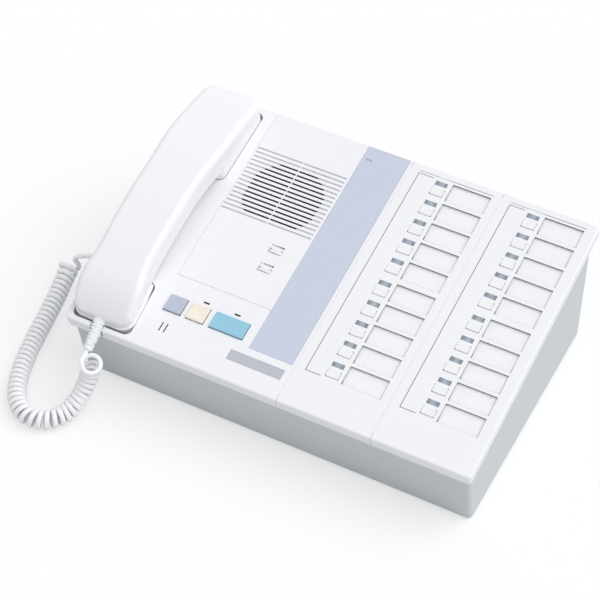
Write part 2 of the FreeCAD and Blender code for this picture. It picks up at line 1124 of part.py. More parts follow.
def make_board(x0, x1, y0, y1, top, spots):
    board = box(x0, x1, y0, y1, top - board_thickness, top)
    radius = board_screw_radius + board_hole_fit
    holes = [
        cylinder(x, y, top - board_thickness - over, top + over, radius)
        for x, y in spots
    ]
    return board.cut(holes)


def make_key(x, width):
    """Speech key: cap, retaining flange and stem."""
    cap = soft_box(
        x - width / 2,
        x + width / 2,
        key_y - key_length / 2,
        key_y + key_length / 2,
        -cover_top - running_gap - key_flange_thickness,
        key_rise,
        key_corner,
        key_edge_round,
    )
    flange_top = -cover_top - running_gap
    flange = centred_box(
        x,
        key_y,
        width + 2 * key_flange,
        key_length + 2 * key_flange,
        flange_top - key_flange_thickness,
        flange_top,
    )
    stem_end = -main_board_drop + key_switch_height + key_travel + running_gap
    stem = centred_box(
        x, key_y, key_stem, key_stem, stem_end, flange_top - key_flange_thickness / 2
    )
    return fused([cap, flange, stem])


def make_call_button(left, y):
    """Call button: cap, retaining flange and stem."""
    x = left + call_left + call_width / 2
    yc = y - call_centre_drop
    flange_top = -cover_top - running_gap
    cap = soft_box(
        x - call_width / 2,
        x + call_width / 2,
        yc - call_length / 2,
        yc + call_length / 2,
        flange_top - call_flange_thickness,
        call_rise,
        call_corner,
        call_edge_round,
    )
    flange = centred_box(
        x,
        yc,
        call_width + 2 * call_flange,
        call_length + 2 * call_flange,
        flange_top - call_flange_thickness,
        flange_top,
    )
    stem_end = -selector_board_drop + call_switch_height + call_travel + running_gap
    stem = centred_box(
        x, yc, call_stem, call_stem, stem_end, flange_top - call_flange_thickness / 2
    )
    return fused([cap, flange, stem])


def switch_block(x, y, board_top, size, height):
    """Small push switch: square body and round plunger."""
    body_top = board_top + switch_body_share * height
    body = centred_box(x, y, size, size, board_top, body_top)
    plunger = cylinder(x, y, board_top, board_top + height, switch_plunger_share * size)
    return fused([body, plunger])


def make_wheel(y):
    """Volume thumbwheel with a fluted rim and a shaft stub."""
    zc = wheel_rise - wheel_radius
    front = y - wheel_thickness / 2
    disc = Part.makeCylinder(
        wheel_radius, wheel_thickness, Vector(wheel_x, front, zc), Vector(0, 1, 0)
    )
    flutes = []
    for tooth in range(wheel_teeth):
        angle = 2 * math.pi * tooth / wheel_teeth
        reach = wheel_radius + wheel_flute_out
        flutes.append(
            Part.makeCylinder(
                wheel_flute_radius,
                wheel_thickness + 2 * over,
                Vector(
                    wheel_x + reach * math.sin(angle),
                    front - over,
                    zc + reach * math.cos(angle),
                ),
                Vector(0, 1, 0),
            )
        )
    shaft = Part.makeCylinder(
        wheel_shaft_radius,
        wheel_thickness / 2 + pot_gap + wheel_shaft_length,
        Vector(wheel_x, y, zc),
        Vector(0, 1, 0),
    )
    return fused([disc.cut(flutes), shaft])


def make_pot(y):
    """Volume potentiometer body on the board, behind its wheel."""
    zc = wheel_rise - wheel_radius
    y0 = y + wheel_thickness / 2 + pot_gap
    body = box(
        wheel_x - pot_width / 2,
        wheel_x + pot_width / 2,
        y0,
        y0 + pot_depth,
        -main_board_drop,
        zc + pot_width / 2,
    )
    bore = Part.makeCylinder(
        wheel_shaft_radius + wheel_shaft_fit,
        wheel_shaft_length + shaft_end_gap + over,
        Vector(wheel_x, y0 - over, zc),
        Vector(0, 1, 0),
    )
    return body.cut(bore)


def funnel(top_radius, low_radius, z_top, z_low):
    """Cone frustum on the speaker's axis."""
    return Part.makeCone(
        low_radius, top_radius, z_top - z_low, Vector(speaker_x, speaker_y, z_low)
    )


def speaker_disc(radius, z0, z1):
    return cylinder(speaker_x, speaker_y, z0, z1, radius)


def make_speaker():
    """Speaker frame, cone and magnet behind the grille."""
    top = -cover_top
    low = top - (speaker_depth - magnet_height)
    mouth = speaker_open_radius + speaker_mouth_margin
    step = top - speaker_flange / 2
    seat = step - surround_seat
    flange = speaker_disc(speaker_frame_radius, top - speaker_flange, top)
    basket = funnel(mouth + basket_wall, speaker_throat + basket_throat_wall, step, low)
    frame = fused([flange, basket]).cut(
        [
            speaker_disc(mouth + over, step, top + over),
            speaker_disc(mouth, seat, step + over),
            funnel(mouth, speaker_throat + basket_wall, seat, low + spider_thickness),
            speaker_disc(speaker_throat - cone_lift, low - over, top),
        ]
    )
    outer = mouth + over - running_gap
    rim = speaker_disc(outer, step, step + surround_thickness)
    rim = rim.cut(speaker_disc(outer - surround_width, step - over, top))
    edge = outer - surround_width + surround_thickness
    cone_top = step + surround_thickness
    paper = funnel(edge, speaker_throat, cone_top, low + cone_lift)
    hollow = funnel(edge - cone_wall, speaker_throat - cone_wall, cone_top, low + cone_lift)
    ball = (cap_radius**2 + cap_height**2) / (2 * cap_height)
    cap_z = low + cone_lift + cone_wall
    centre = Vector(speaker_x, speaker_y, cap_z + cap_height - ball)
    dome = Part.makeSphere(ball, centre)
    dome = dome.common(speaker_disc(cap_radius, cap_z, cap_z + ball))
    cone = fused([paper.cut(hollow), rim, dome])
    magnet = speaker_disc(magnet_radius, low - magnet_height, low)
    return frame, cone, magnet


def speaker_stakes():
    """Stakes of the cover with melted heads that hold the speaker's rim."""
    stakes = []
    rim_bottom = -cover_top - speaker_flange
    reach = speaker_frame_radius + stake_fit + stake_radius
    for index in range(stake_count):
        angle = math.radians(90 + 360 * index / stake_count)
        x = speaker_x + reach * math.cos(angle)
        y = speaker_y + reach * math.sin(angle)
        post = cylinder(x, y, rim_bottom - stake_head_height, -cover_top / 2, stake_radius)
        head = cylinder(x, y, rim_bottom - stake_head_height, rim_bottom, stake_head_radius)
        stakes += [post, head]
    return stakes


def plan_wire(inset, z):
    """Plan of the handset: wide mouth end, slim grip, rounded ends."""
    front = handset_front + inset
    rear = handset_rear - inset
    mouth = mouth_half_width - inset
    grip = grip_half_width - inset
    ear = ear_half_width - inset
    corner = handset_corner - inset
    arc_in = corner * (1 - math.sqrt(0.5))
    mouth_y = handset_front + handset_corner + mouth_straight
    waist_y = mouth_y + waist_length
    grip_y = handset_arch_y
    swell_y = handset_rear - ear_length + ear_straight_lap
    ear_y = handset_rear - handset_corner

    def at(side, half, y):
        return Vector(handset_x + side * half, y, z)

    def blend(side, half_0, y_0, half_1, y_1):
        reach = flank_ease * (y_1 - y_0)
        curve = Part.BezierCurve()
        curve.setPoles(
            [
                at(side, half_0, y_0),
                at(side, half_0, y_0 + reach),
                at(side, half_1, y_1 - reach),
                at(side, half_1, y_1),
            ]
        )
        return curve.toShape()

    def straight(a, b):
        return Part.LineSegment(a, b).toShape()

    edges = [straight(at(-1, mouth - corner, front), at(1, mouth - corner, front))]
    for side in (-1, 1):
        edges += [
            Part.Arc(
                at(side, mouth - corner, front),
                at(side, mouth - arc_in, front + arc_in),
                at(side, mouth, front + corner),
            ).toShape(),
            straight(at(side, mouth, front + corner), at(side, mouth, mouth_y)),
            blend(side, mouth, mouth_y, grip, waist_y),
            straight(at(side, grip, waist_y), at(side, grip, grip_y)),
            blend(side, grip, grip_y, ear, swell_y),
            straight(at(side, ear, swell_y), at(side, ear, ear_y)),
            Part.Arc(
                at(side, ear, ear_y),
                at(side, ear - arc_in, rear - arc_in),
                at(side, ear - corner, rear),
            ).toShape(),
        ]
    edges.append(straight(at(-1, ear - corner, rear), at(1, ear - corner, rear)))
    return Part.Wire(Part.sortEdges(edges)[0])


def plan_body(inset):
    """Handset plan drawn upwards, widening with the draft of its sides."""
    low = handset_bottom - over
    high = handset_arch_top + over
    draft = math.tan(math.radians(handset_draft_deg))
    wires = [plan_wire(inset + (handset_plan_height - z) * draft, z) for z in (low, high)]
    return Part.makeLoft(wires, True, True)


def arch_z(peak, radius, y):
    """Height of an arch with its peak at the middle of the grip."""
    return peak - radius + math.sqrt(radius**2 - (y - handset_arch_y) ** 2)


def arch(peak, radius, y0, y1, x):
    """Arc of an arch from y0 to y1, in the plane at x."""
    points = [Vector(x, y, arch_z(peak, radius, y)) for y in (y0, (y0 + y1) / 2, y1)]
    return Part.Arc(*points).toShape()


def shoulder(inset, start_y, bend, end_y, x):
    """Arc that leaves the arched back at start_y and turns down to end_y."""
    lean = (start_y - handset_arch_y) / handset_arch_radius
    upright = math.sqrt(1 - lean**2)
    centre_y = start_y - bend * lean
    centre_z = handset_arch_top - handset_arch_radius * (1 - upright) - bend * upright
    radius = bend - inset

    def at(y):
        return Vector(x, y, centre_z + math.sqrt(radius**2 - (y - centre_y) ** 2))

    begin = Vector(x, centre_y + radius * lean, centre_z + radius * upright)
    return begin, at((begin.y + end_y) / 2), at(end_y)


def side_body(inset):
    """Side view of the handset drawn across it: arched back, slim grip, two heads."""
    x = handset_x - 2 * mouth_half_width
    y0 = handset_front - nose_reach + inset
    y1 = handset_rear + tail_reach - inset
    low = handset_bottom + inset
    under = grip_under_top + inset
    under_radius = grip_under_radius + inset
    mouth_end = handset_front + mouth_length - inset
    ear_start = handset_rear - ear_length + inset
    grip_start = mouth_end + head_slope + inset / 2
    grip_end = ear_start - head_slope - inset / 2
    nose = shoulder(inset, nose_start_y, nose_radius, y0, x)
    tail = shoulder(inset, tail_start_y, tail_radius, y1, x)
    corners = [
        nose[2],
        Vector(x, y0, low),
        Vector(x, mouth_end, low),
        Vector(x, grip_start, arch_z(under, under_radius, grip_start)),
        Vector(x, grip_end, arch_z(under, under_radius, grip_end)),
        Vector(x, ear_start, low),
        Vector(x, y1, low),
        tail[2],
    ]
    edges = [Part.LineSegment(a, b).toShape() for a, b in zip(corners, corners[1:])]
    edges[3] = arch(under, under_radius, grip_start, grip_end, x)
    top = handset_arch_top - inset
    edges.append(Part.Arc(tail[2], tail[1], tail[0]).toShape())
    edges.append(arch(top, handset_arch_radius - inset, tail[0].y, nose[0].y, x))
    edges.append(Part.Arc(nose[0], nose[1], nose[2]).toShape())
    return Part.Face(Part.Wire(edges)).extrude(Vector(4 * mouth_half_width, 0, 0))


def cradle_feet(inset):
    """Feet of the two heads: the wells less a clearance, inside the handset's plan."""
    low = handset_bottom + inset
    grow = -cradle_fit - inset
    plan = Part.Face(plan_wire(inset, low))
    plan = plan.extrude(Vector(0, 0, handset_plan_height - low))
    feet = [
        front_well_shape(grow, low, mouth_foot_top - inset),
        rear_well_shape(grow, low, handset_plan_height),
    ]
    return [foot.common(plan) for foot in feet]


def above_parting():
    """Everything above the arched parting surface."""
    x = handset_x - 2 * mouth_half_width
    y0 = handset_front - 2 * nose_reach
    y1 = handset_rear + 2 * tail_reach
    high = handset_arch_top + over
    ends = [Vector(x, y, arch_z(parting_top, parting_radius, y)) for y in (y0, y1)]
    edges = [
        arch(parting_top, parting_radius, y0, y1, x),
        Part.LineSegment(ends[1], Vector(x, y1, high)).toShape(),
        Part.LineSegment(Vector(x, y1, high), Vector(x, y0, high)).toShape(),
        Part.LineSegment(Vector(x, y0, high), ends[0]).toShape(),
    ]
    return Part.Face(Part.Wire(edges)).extrude(Vector(4 * mouth_half_width, 0, 0))


def back_rim(shape):
    """Edges all round the handset's rounded back."""
    backs = []
    for face in shape.Faces:
        surface = face.Surface
        if not isinstance(surface, Part.Cylinder) or abs(surface.Axis.x) < 0.99:
            continue
        if abs(surface.Radius - grip_under_radius) > 1e-6:
            backs.append(face)
    rim = []
    for face in backs:
        for edge in face.Edges:
            shared = [f for f in backs if any(edge.isSame(other) for other in f.Edges)]
            if len(shared) == 1:
                rim.append(edge)
    return rim


def make_handset():
    """Back and front shells of the handset, hollow, with sound holes."""
    outer = side_body(0.0).common(plan_body(0.0))
    outer = outer.makeFillet(handset_top_round, back_rim(outer))
    inner = side_body(handset_wall).common(plan_body(handset_wall))
    inner = inner.fuse(cradle_feet(handset_wall))
    upper = above_parting()
    feet = cradle_feet(0.0)
    back = fused([outer] + feet).common(upper).cut(inner)
    slim = fused([outer.common(plan_body(handset_parting_step))] + feet)
    slim = slim.makeFillet(handset_bottom_round, edges_at_z(slim, handset_bottom))
    front = slim.cut(upper).cut(inner)
    low = handset_bottom - over
    holes = [cylinder(handset_x, ear_centre_y, low, 0, ear_hole_radius)]
    for index in range(ear_hole_count):
        angle = 2 * math.pi * index / ear_hole_count
        holes.append(
            cylinder(
                handset_x + ear_hole_ring * math.cos(angle),
                ear_centre_y + ear_hole_ring * math.sin(angle),
                low,
                0,
                ear_hole_radius,
            )
        )
    for index in (-1, 0, 1):
        holes.append(
            centred_box(
                handset_x,
                mouth_centre_y + mouth_slot_pitch * index,
                mouth_slot_length,
                mouth_slot_width,
                low,
                0,
            )
        )
    start = Vector(handset_x, relief_start_y, relief_start_z)
    heading = relief_heading()
    socket = Part.makeCylinder(
        relief_radius_wide + relief_fit,
        2 * relief_tail,
        start.sub(heading * (relief_tail + relief_lap)),
        heading,
    )
    back = back.cut(socket)
    front = front.cut(holes + [socket])
    return back, front


def relief_heading():
    drop = math.radians(relief_drop_deg)
    return Vector(0, -math.cos(drop), -math.sin(drop))


def make_strain_relief():
    """Tapered, ribbed strain relief out of the handset's mouth end."""
    heading = relief_heading()
    start = Vector(handset_x, relief_start_y, relief_start_z)
    tail = Part.makeCylinder(
        relief_radius_wide,
        relief_tail + relief_lap,
        start.sub(heading * relief_tail),
        heading,
    )
    taper = Part.makeCone(
        relief_radius_wide, relief_radius_slim, relief_length, start, heading
    )
    cuts = []
    for index in range(relief_rib_count):
        spot = start.add(heading * (relief_rib_start + relief_rib_pitch * index))
        ring = Part.makeCylinder(relief_radius_wide + over, relief_rib_gap, spot, heading)
        core_radius = relief_radius_slim + relief_core_fit - relief_rib_depth
        core = Part.makeCylinder(core_radius, relief_rib_gap, spot, heading)
        cuts.append(ring.cut(core))
    return fused([tail, taper]).cut(cuts)


def relief_tip():
    start = Vector(handset_x, relief_start_y, relief_start_z)
    end = start.add(relief_heading() * relief_length)
    return panel_point(end.x, end.y, end.z)


def make_jack():
    """Modular jack inside the left wall, open towards the outside."""
    wall_in = base_left + base_wall
    body = box(
        wall_in,
        wall_in + jack_length,
        jack_y - jack_size / 2,
        jack_y + jack_size / 2,
        jack_z - jack_size / 2,
        jack_z + jack_size / 2,
    )
    neck = box(
        base_left,
        wall_in,
        jack_y - jack_wall_hole / 2 + plug_fit,
        jack_y + jack_wall_hole / 2 - plug_fit,
        jack_z - jack_wall_hole / 2 + plug_fit,
        jack_z + jack_wall_hole / 2 - plug_fit,
    )
    socket = box(
        base_left - over,
        base_left + plug_length + plug_fit,
        jack_y - plug_width / 2 - plug_fit,
        jack_y + plug_width / 2 + plug_fit,
        jack_z - plug_height / 2 - plug_fit,
        jack_z + plug_height / 2 + plug_fit,
    )
    return fused([body, neck]).cut(socket)


def boot_tip():
    return Vector(base_left - boot_gap - boot_length, jack_y, jack_z)


def make_base_plug():
    """Modular plug in the jack, with its round boot outside the wall."""
    body = box(
        base_left - boot_gap - plug_lap,
        base_left + plug_length,
        jack_y - plug_width / 2,
        jack_y + plug_width / 2,
        jack_z - plug_height / 2,
        jack_z + plug_height / 2,
    )
    boot = Part.makeCone(
        boot_radius - boot_slimming,
        boot_radius,
        boot_length,
        boot_tip(),
        Vector(1, 0, 0),
    )
    return fused([body, boot])


# Curly cord: a helix about a route of straight runs joined by tangent arcs
class Route:
    """Straight runs joined by tangent arcs, read by distance."""

    def __init__(self, points):
        points = [Vector(*p) for p in points]
        self.parts = []
        self.radii = []
        here = points[0]
        for before, corner, after in zip(points, points[1:], points[2:]):
            way_in = corner.sub(before)
            way_out = after.sub(corner)
            shorter = min(way_in.Length, way_out.Length)
            way_in.normalize()
            way_out.normalize()
            turn = way_in.getAngle(way_out)
            trim = arc_trim * shorter
            radius = trim / math.tan(turn / 2)
            self.radii.append(radius)
            start = corner.sub(way_in * trim)
            self.parts.append((here, way_in, start.sub(here).Length, None, None))
            inward = way_out.sub(way_in * way_out.dot(way_in))
            inward.normalize()
            self.parts.append((start, way_in, radius * turn, radius, inward))
            here = corner.add(way_out * trim)
        last = points[-1].sub(here)
        length = last.Length
        last.normalize()
        self.parts.append((here, last, length, None, None))
        self.length = sum(part[2] for part in self.parts)

    def at(self, distance):
        """Point, heading and curvature at a distance along the route."""
        index = 0
        while index < len(self.parts) - 1 and distance > self.parts[index][2]:
            distance -= self.parts[index][2]
            index += 1
        start, way, _, radius, inward = self.parts[index]
        if radius is None:
            return start.add(way * distance), Vector(way), 0.0
        angle = distance / radius
        point = start.add(way * (radius * math.sin(angle)))
        point = point.add(inward * (radius * (1 - math.cos(angle))))
        heading = way * math.cos(angle) + inward * math.sin(angle)
        return point, heading, 1.0 / radius


def end_share(route, distance):
    """1 at either end of the route, falling to 0 over the flare."""
    near = min(distance, route.length - distance)
    return max(0.0, 1.0 - near / flare_length)


def curl_points(route):
    """Helix points and headings at each quarter turn about the route."""
    step = route.length / route_steps
    side = Vector(1, 0, 0)
    turned = 0.0
    samples = []
    for index in range(route_steps + 1):
        distance = index * step
        centre, axis, bend = route.at(distance)
        side = side.sub(axis * side.dot(axis))
        side.normalize()
        share = end_share(route, distance)
        samples.append((turned, centre, axis, Vector(side), curl_radius + flare_radius * share))
        squeeze = 1.0 - (curl_radius + wire_diameter / 4) * bend
        pitch = max(curl_pitch, (wire_diameter + curl_clear) / squeeze)
        turned += step / (pitch + flare_pitch * share)
    whole = round(samples[-1][0])
    turns = whole + (curl_start_deg - curl_end_deg) / 360
    stretch = turns / samples[-1][0]

    def helix(turn):
        """Helix point after a number of turns, wound to the left."""
        wanted = min(max(turn / stretch, 0.0), samples[-1][0])
        low = 0
        high = route_steps
        while high - low > 1:
            middle = (low + high) // 2
            if samples[middle][0] <= wanted:
                low = middle
            else:
                high = middle
        before = samples[low]
        after = samples[high]
        share = (wanted - before[0]) / (after[0] - before[0])
        centre, axis, across = (
            before[item] + (after[item] - before[item]) * share for item in (1, 2, 3)
        )
        radius = before[4] + (after[4] - before[4]) * share
        axis.normalize()
        across = across.sub(axis * across.dot(axis))
        across.normalize()
        phase = math.radians(curl_start_deg) - 2 * math.pi * turn
        arm = across * math.cos(phase) + axis.cross(across) * math.sin(phase)
        return centre + arm * radius

    found = []
    for quarter in range(4 * whole + 1):
        turn = turns * quarter / (4 * whole)
        ahead = helix(min(turn + heading_step, turns))
        heading = ahead.sub(helix(max(turn - heading_step, 0.0)))
        heading.normalize()
        found.append((helix(turn), heading))
    return found, turns


def biarc(p0, t0, p1, t1):
    """Two tangent arcs from p0 along t0 to p1 along t1."""
    chord = p1.sub(p0)
    both = t0.add(t1)
    spread = 2 * (1 - t0.dot(t1))
    along = chord.dot(both)
    if spread < 1e-9:
        reach = chord.dot(chord) / (4 * chord.dot(t1))
    else:
        root = math.sqrt(along * along + spread * chord.dot(chord))
        reach = (root - along) / spread
    knee = (p0 + p1 + t0.sub(t1) * reach) * 0.5
    return [arc_from(p0, t0, knee), arc_into(knee, p1, t1)]


def arc_from(start, heading, end):
    """Arc that leaves start along heading and reaches end."""
    chord = end.sub(start)
    length = chord.Length
    chord.normalize()
    outward = heading.sub(chord * heading.dot(chord))
    half = math.asin(min(1.0, outward.Length))
    if half < 1e-6:
        return Part.LineSegment(start, end).toShape()
    outward.normalize()
    rise = length / 2 * math.tan(half / 2)
    middle = (start + end) * 0.5 + outward * rise
    return Part.Arc(start, middle, end).toShape()


def arc_into(start, end, heading):
    """Arc from start that reaches end along heading."""
    back = arc_from(end, heading * -1.0, start)
    if isinstance(back.Curve, Part.Line):
        return Part.LineSegment(start, end).toShape()
    middle = back.valueAt((back.FirstParameter + back.LastParameter) / 2)
    return Part.Arc(start, middle, end).toShape()


def make_curly_cord():
    """One unbroken tube: lead, curls, lead."""
    route = Route(cord_route)
    radii = ", ".join(f"{radius:.1f}" for radius in route.radii)
    print("cord route radii:", radii)
    quarters, turns = curl_points(route)
    tip = relief_tip()
    heading = to_desk(Part.makeLine(Vector(0, 0, 0), relief_heading()))
    out = heading.Vertexes[1].Point.sub(heading.Vertexes[0].Point)
    out.normalize()
    lead_in = tip.add(out * wire_diameter)
    end = boot_tip()
    lead_out = end.sub(Vector(wire_diameter, 0, 0))
    edges = [Part.LineSegment(tip, lead_in).toShape()]
    edges += biarc(lead_in, out, quarters[0][0], quarters[0][1])
    for (p0, t0), (p1, t1) in zip(quarters, quarters[1:]):
        edges += biarc(p0, t0, p1, t1)
    edges += biarc(quarters[-1][0], quarters[-1][1], lead_out, Vector(1, 0, 0))
    edges.append(Part.LineSegment(lead_out, end).toShape())
    tightest = min(
        edge.Curve.Radius for edge in edges if hasattr(edge.Curve, "Radius")
    )
    path = Part.Wire(edges)
    ring = Part.Wire([Part.makeCircle(wire_diameter / 2, tip, out)])
    tube = path.makePipeShell([ring], True, False)
    section = math.pi * (wire_diameter / 2) ** 2
    print(
        f"curly cord: {turns:.2f} curls, {path.Length:.0f} mm of wire, tightest arc "
        f"{tightest:.2f} mm, volume over section times length "
        f"{tube.Volume / (section * path.Length):.4f}"
    )
    print(f"curly cord: least gap to itself {self_gap(path):.2f} mm")
    return tube


def self_gap(path):
    """Least clear gap between stretches of the cord over half a curl apart."""
    points = path.discretize(int(path.Length / gap_spacing))
    skip = int(gap_skip_turns * 2 * math.pi * curl_radius / gap_spacing)
    least = path.Length
    for index, here in enumerate(points):
        for there in points[index + skip :]:
            least = min(least, here.distanceToPoint(there))
    return least - wire_diameter


def make_terminal():
    """Screw terminal block on the tray's floor, facing the cable entry."""
    z0 = foot_height + base_floor
    z1 = z0 + terminal_height
    x0 = cable_entry_x - terminal_length / 2
    y1 = base_rear_y - base_wall - terminal_wall_gap
    block = box(x0, x0 + terminal_length, y1 - terminal_depth, y1, z0, z1)
    cuts = []
    pitch = terminal_length / terminal_screw_count
    for index in range(terminal_screw_count):
        x = x0 + (index + 0.5) * pitch
        y = y1 - terminal_screw_inset
        cuts.append(
            cylinder(x, y, z1 - terminal_screw_depth, z1 + over, terminal_screw_radius)
        )
        half = wire_hole_size / 2
        low = z0 + wire_hole_sill
        high = low + wire_hole_size
        cuts.append(box(x - half, x + half, y1 - wire_hole_depth, y1 + over, low, high))
    return block.cut(cuts)


def group(shapes):
    return Part.makeCompound(shapes)


def build():
    save("base_case", make_base())
    save("rubber_feet", group(make_feet()))
    save("case_screws", group(make_case_screws()))
    save("terminal_block", make_terminal())
    save("main_cover", to_desk(make_main_cover()))
    save("selector_cover_1", to_desk(make_selector_cover(seam_1, seam_2, False)))
    save("selector_cover_2", to_desk(make_selector_cover(seam_2, cover_right, True)))

    strip = box(
        strip_left + strip_fit,
        strip_left + strip_width - strip_fit,
        strip_front + strip_fit,
        cover_depth - strip_rear_margin - strip_fit,
        -strip_thickness,
        0,
    )
    lamp = power_lamp()
    strip = strip.cut(centred_box(*lamp, -cover_top, over))
    save("colour_strip", to_desk(strip))
    plate = box(
        plate_left + strip_fit,
        plate_left + plate_width - strip_fit,
        plate_front + strip_fit,
        plate_front + plate_length - strip_fit,
        -plate_thickness,
        0,
    )
    save("blank_plate", to_desk(plate))
    bottom = -cover_top - lamp_flange_thickness - lens_reach
    power = lens(*lamp, lamp_fit, lamp_flange, -cover_top, bottom, -lamp_recess)
    save("power_lens", to_desk(power))
    key_lenses = [
        lens(*spot, lamp_fit, lamp_flange, -cover_top, bottom, -lamp_recess)
        for spot in key_lamps()
    ]
    save("key_lamp_lenses", to_desk(group(key_lenses)))

    call_lenses = []
    cards = []
    windows = []
    switches = []
    board_bottom = -selector_board_drop - board_thickness
    screws = []
    number = 0
    for left, board_name in ((seam_1, "selector_board_1"), (seam_2, "selector_board_2")):
        for row in range(row_count):
            y = row_y(row)
            call_lenses.append(
                lens(
                    left + lamp_left + lamp_width / 2,
                    y - lamp_centre_drop,
                    lamp_width,
                    lamp_length,
                    lamp_fit,
                    lamp_flange,
                    -cover_top,
                    -lamp_depth,
                    -lamp_recess,
                )
            )
            cards.append(card_slab(left, y, 0.0, card_thickness, card_gap))
            windows.append(card_slab(left, y, card_thickness, card_stack, card_gap))
            switches.append(
                switch_block(
                    left + call_left + call_width / 2,
                    y - call_centre_drop,
                    -selector_board_drop,
                    call_switch_size,
                    call_switch_height,
                )
            )
            number += 1
            save(f"call_button_{number:02d}", to_desk(make_call_button(left, y)))
        spots = selector_board_posts(left)
        board = make_board(
            left + selector_board_left,
            left + selector_board_right,
            selector_board_front,
            selector_board_rear,
            -selector_board_drop,
            spots,
        )
        save(board_name, to_desk(board))
        screws += [board_screw(x, y, board_bottom) for x, y in spots]
    save("call_lamp_lenses", to_desk(group(call_lenses)))
    save("name_cards", to_desk(group(cards)))
    save("card_windows", to_desk(group(windows)))
    save("call_switches", to_desk(group(switches)))

    spots = main_board_posts()
    board = make_board(
        main_board_left,
        main_board_right,
        main_board_front,
        main_board_rear,
        -main_board_drop,
        spots,
    )
    save("main_board", to_desk(board))
    screws += [board_screw(x, y, -main_board_drop - board_thickness) for x, y in spots]
    key_switches = []
    for name, x, width in key_spots():
        save(name, to_desk(make_key(x, width)))
        key_switches.append(
            switch_block(x, key_y, -main_board_drop, key_switch_size, key_switch_height)
        )
    save("key_switches", to_desk(group(key_switches)))
    pots = []
    for name, y in wheel_spots():
        save(name, to_desk(make_wheel(y)))
        pots.append(make_pot(y))
    save("volume_pots", to_desk(group(pots)))
    mic_x = sum(mic_slot_x) / 2
    mic = cylinder(mic_x, mic_slot_y, -cover_top - mic_height, -cover_top, mic_radius)
    save("station_microphone", to_desk(mic))

    frame, cone, magnet = make_speaker()
    save("speaker_frame", to_desk(frame))
    save("speaker_cone", to_desk(cone))
    save("speaker_magnet", to_desk(magnet))

    plunger = centred_box(
        hook_x, hook_y, hook_width, hook_length, hook_bottom, -well_depth
    )
    flange = centred_box(
        hook_x,
        hook_y,
        hook_width + 2 * hook_flange,
        hook_length + 2 * hook_flange,
        hook_bottom,
        hook_flange_top,
    )
    save("hook_button", to_desk(fused([plunger, flange])))
    plate = centred_box(
        hook_x,
        hook_y,
        hook_plate_x,
        hook_plate_y,
        hook_plate_top - board_thickness,
        hook_plate_top,
    )
    low = hook_plate_top - board_thickness - over
    holes = [
        cylinder(x, y, low, hook_plate_top + over, board_screw_radius + board_hole_fit)
        for x, y in hook_posts()
    ]
    body = centred_box(
        hook_x,
        hook_y,
        hook_switch_size,
        hook_switch_size,
        hook_plate_top,
        hook_switch_top,
    )
    save("hook_switch", to_desk(fused([plate.cut(holes), body])))
    screws += [
        board_screw(x, y, hook_plate_top - board_thickness) for x, y in hook_posts()
    ]
    save("board_screws", to_desk(group(screws)))

    back, front = make_handset()
    save("handset_back", to_desk(back))
    save("handset_front", to_desk(front))
    inside = handset_bottom + handset_wall
    receiver = cylinder(
        handset_x, ear_centre_y, inside, inside + receiver_height, receiver_radius
    )
    save("receiver_capsule", to_desk(receiver))
    transmitter = cylinder(
        handset_x,
        mouth_centre_y,
        inside,
        inside + transmitter_height,
        transmitter_radius,
    )
    save("transmitter_capsule", to_desk(transmitter))
    save("handset_strain_relief", to_desk(make_strain_relief()))

    save("handset_jack", make_jack())
    save("base_plug", make_base_plug())
    save("curly_cord", make_curly_cord())


build()
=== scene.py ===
import math

import bpy
import numpy as np
from mathutils import Matrix, Vector


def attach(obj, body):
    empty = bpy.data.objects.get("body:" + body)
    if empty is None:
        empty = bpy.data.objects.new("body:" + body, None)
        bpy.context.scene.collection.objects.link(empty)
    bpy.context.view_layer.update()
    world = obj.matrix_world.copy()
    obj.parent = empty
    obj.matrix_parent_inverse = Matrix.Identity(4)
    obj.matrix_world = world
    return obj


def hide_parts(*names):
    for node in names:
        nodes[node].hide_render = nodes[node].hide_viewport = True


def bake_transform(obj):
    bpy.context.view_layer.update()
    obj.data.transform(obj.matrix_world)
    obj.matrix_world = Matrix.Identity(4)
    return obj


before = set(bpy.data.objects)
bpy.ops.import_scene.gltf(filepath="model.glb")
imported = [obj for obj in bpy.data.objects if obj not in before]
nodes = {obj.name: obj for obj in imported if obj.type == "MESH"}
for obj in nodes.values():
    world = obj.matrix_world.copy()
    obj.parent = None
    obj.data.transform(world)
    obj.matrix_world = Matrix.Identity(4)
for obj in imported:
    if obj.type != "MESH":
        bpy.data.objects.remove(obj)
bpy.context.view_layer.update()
print("frame loaded:", len(nodes), "nodes")

mm = 0.001  # one millimetre in metres

# the sloping top in mm: x to the right, y up the slope from the front edge, z square to it
panel = {
    "tiltDeg": 10.6,
    "frontY": -0.10257,  # front edge in metres
    "frontZ": 0.0563,
    "selectorLefts": (11.2, 78.2),
    "firstRow": 199.5,  # rear edge of the rearmost call row
    "rowPitch": 17.2,
    "rows": 10,
    "groupRows": 5,
    "groupGap": 1.8,
}
panelTilt = math.radians(panel["tiltDeg"])
panelRight = np.array([1.0, 0.0, 0.0])
panelAlong = np.array([0.0, math.cos(panelTilt), math.sin(panelTilt)])
panelUp = np.array([0.0, -math.sin(panelTilt), math.cos(panelTilt)])
panelOrigin = np.array([0.0, panel["frontY"], panel["frontZ"]])


# panel way = x to the right + y along the slope + z square to it
def panelWay(x, y, z):
    x, y, z = np.broadcast_arrays(*(np.asarray(value, float) for value in (x, y, z)))
    return x[..., None] * panelRight + y[..., None] * panelAlong + z[..., None] * panelUp


# panel point = origin of the top + panel way, from millimetres to metres
def onPanel(x, y, z):
    return panelOrigin + mm * panelWay(x, y, z)


# rear edge of a call row = first row - row * pitch, less the gap once the first group is passed
def rowRear(row):
    gap = panel["groupGap"] if row >= panel["groupRows"] else 0.0
    return panel["firstRow"] - row * panel["rowPitch"] - gap


# camera and light

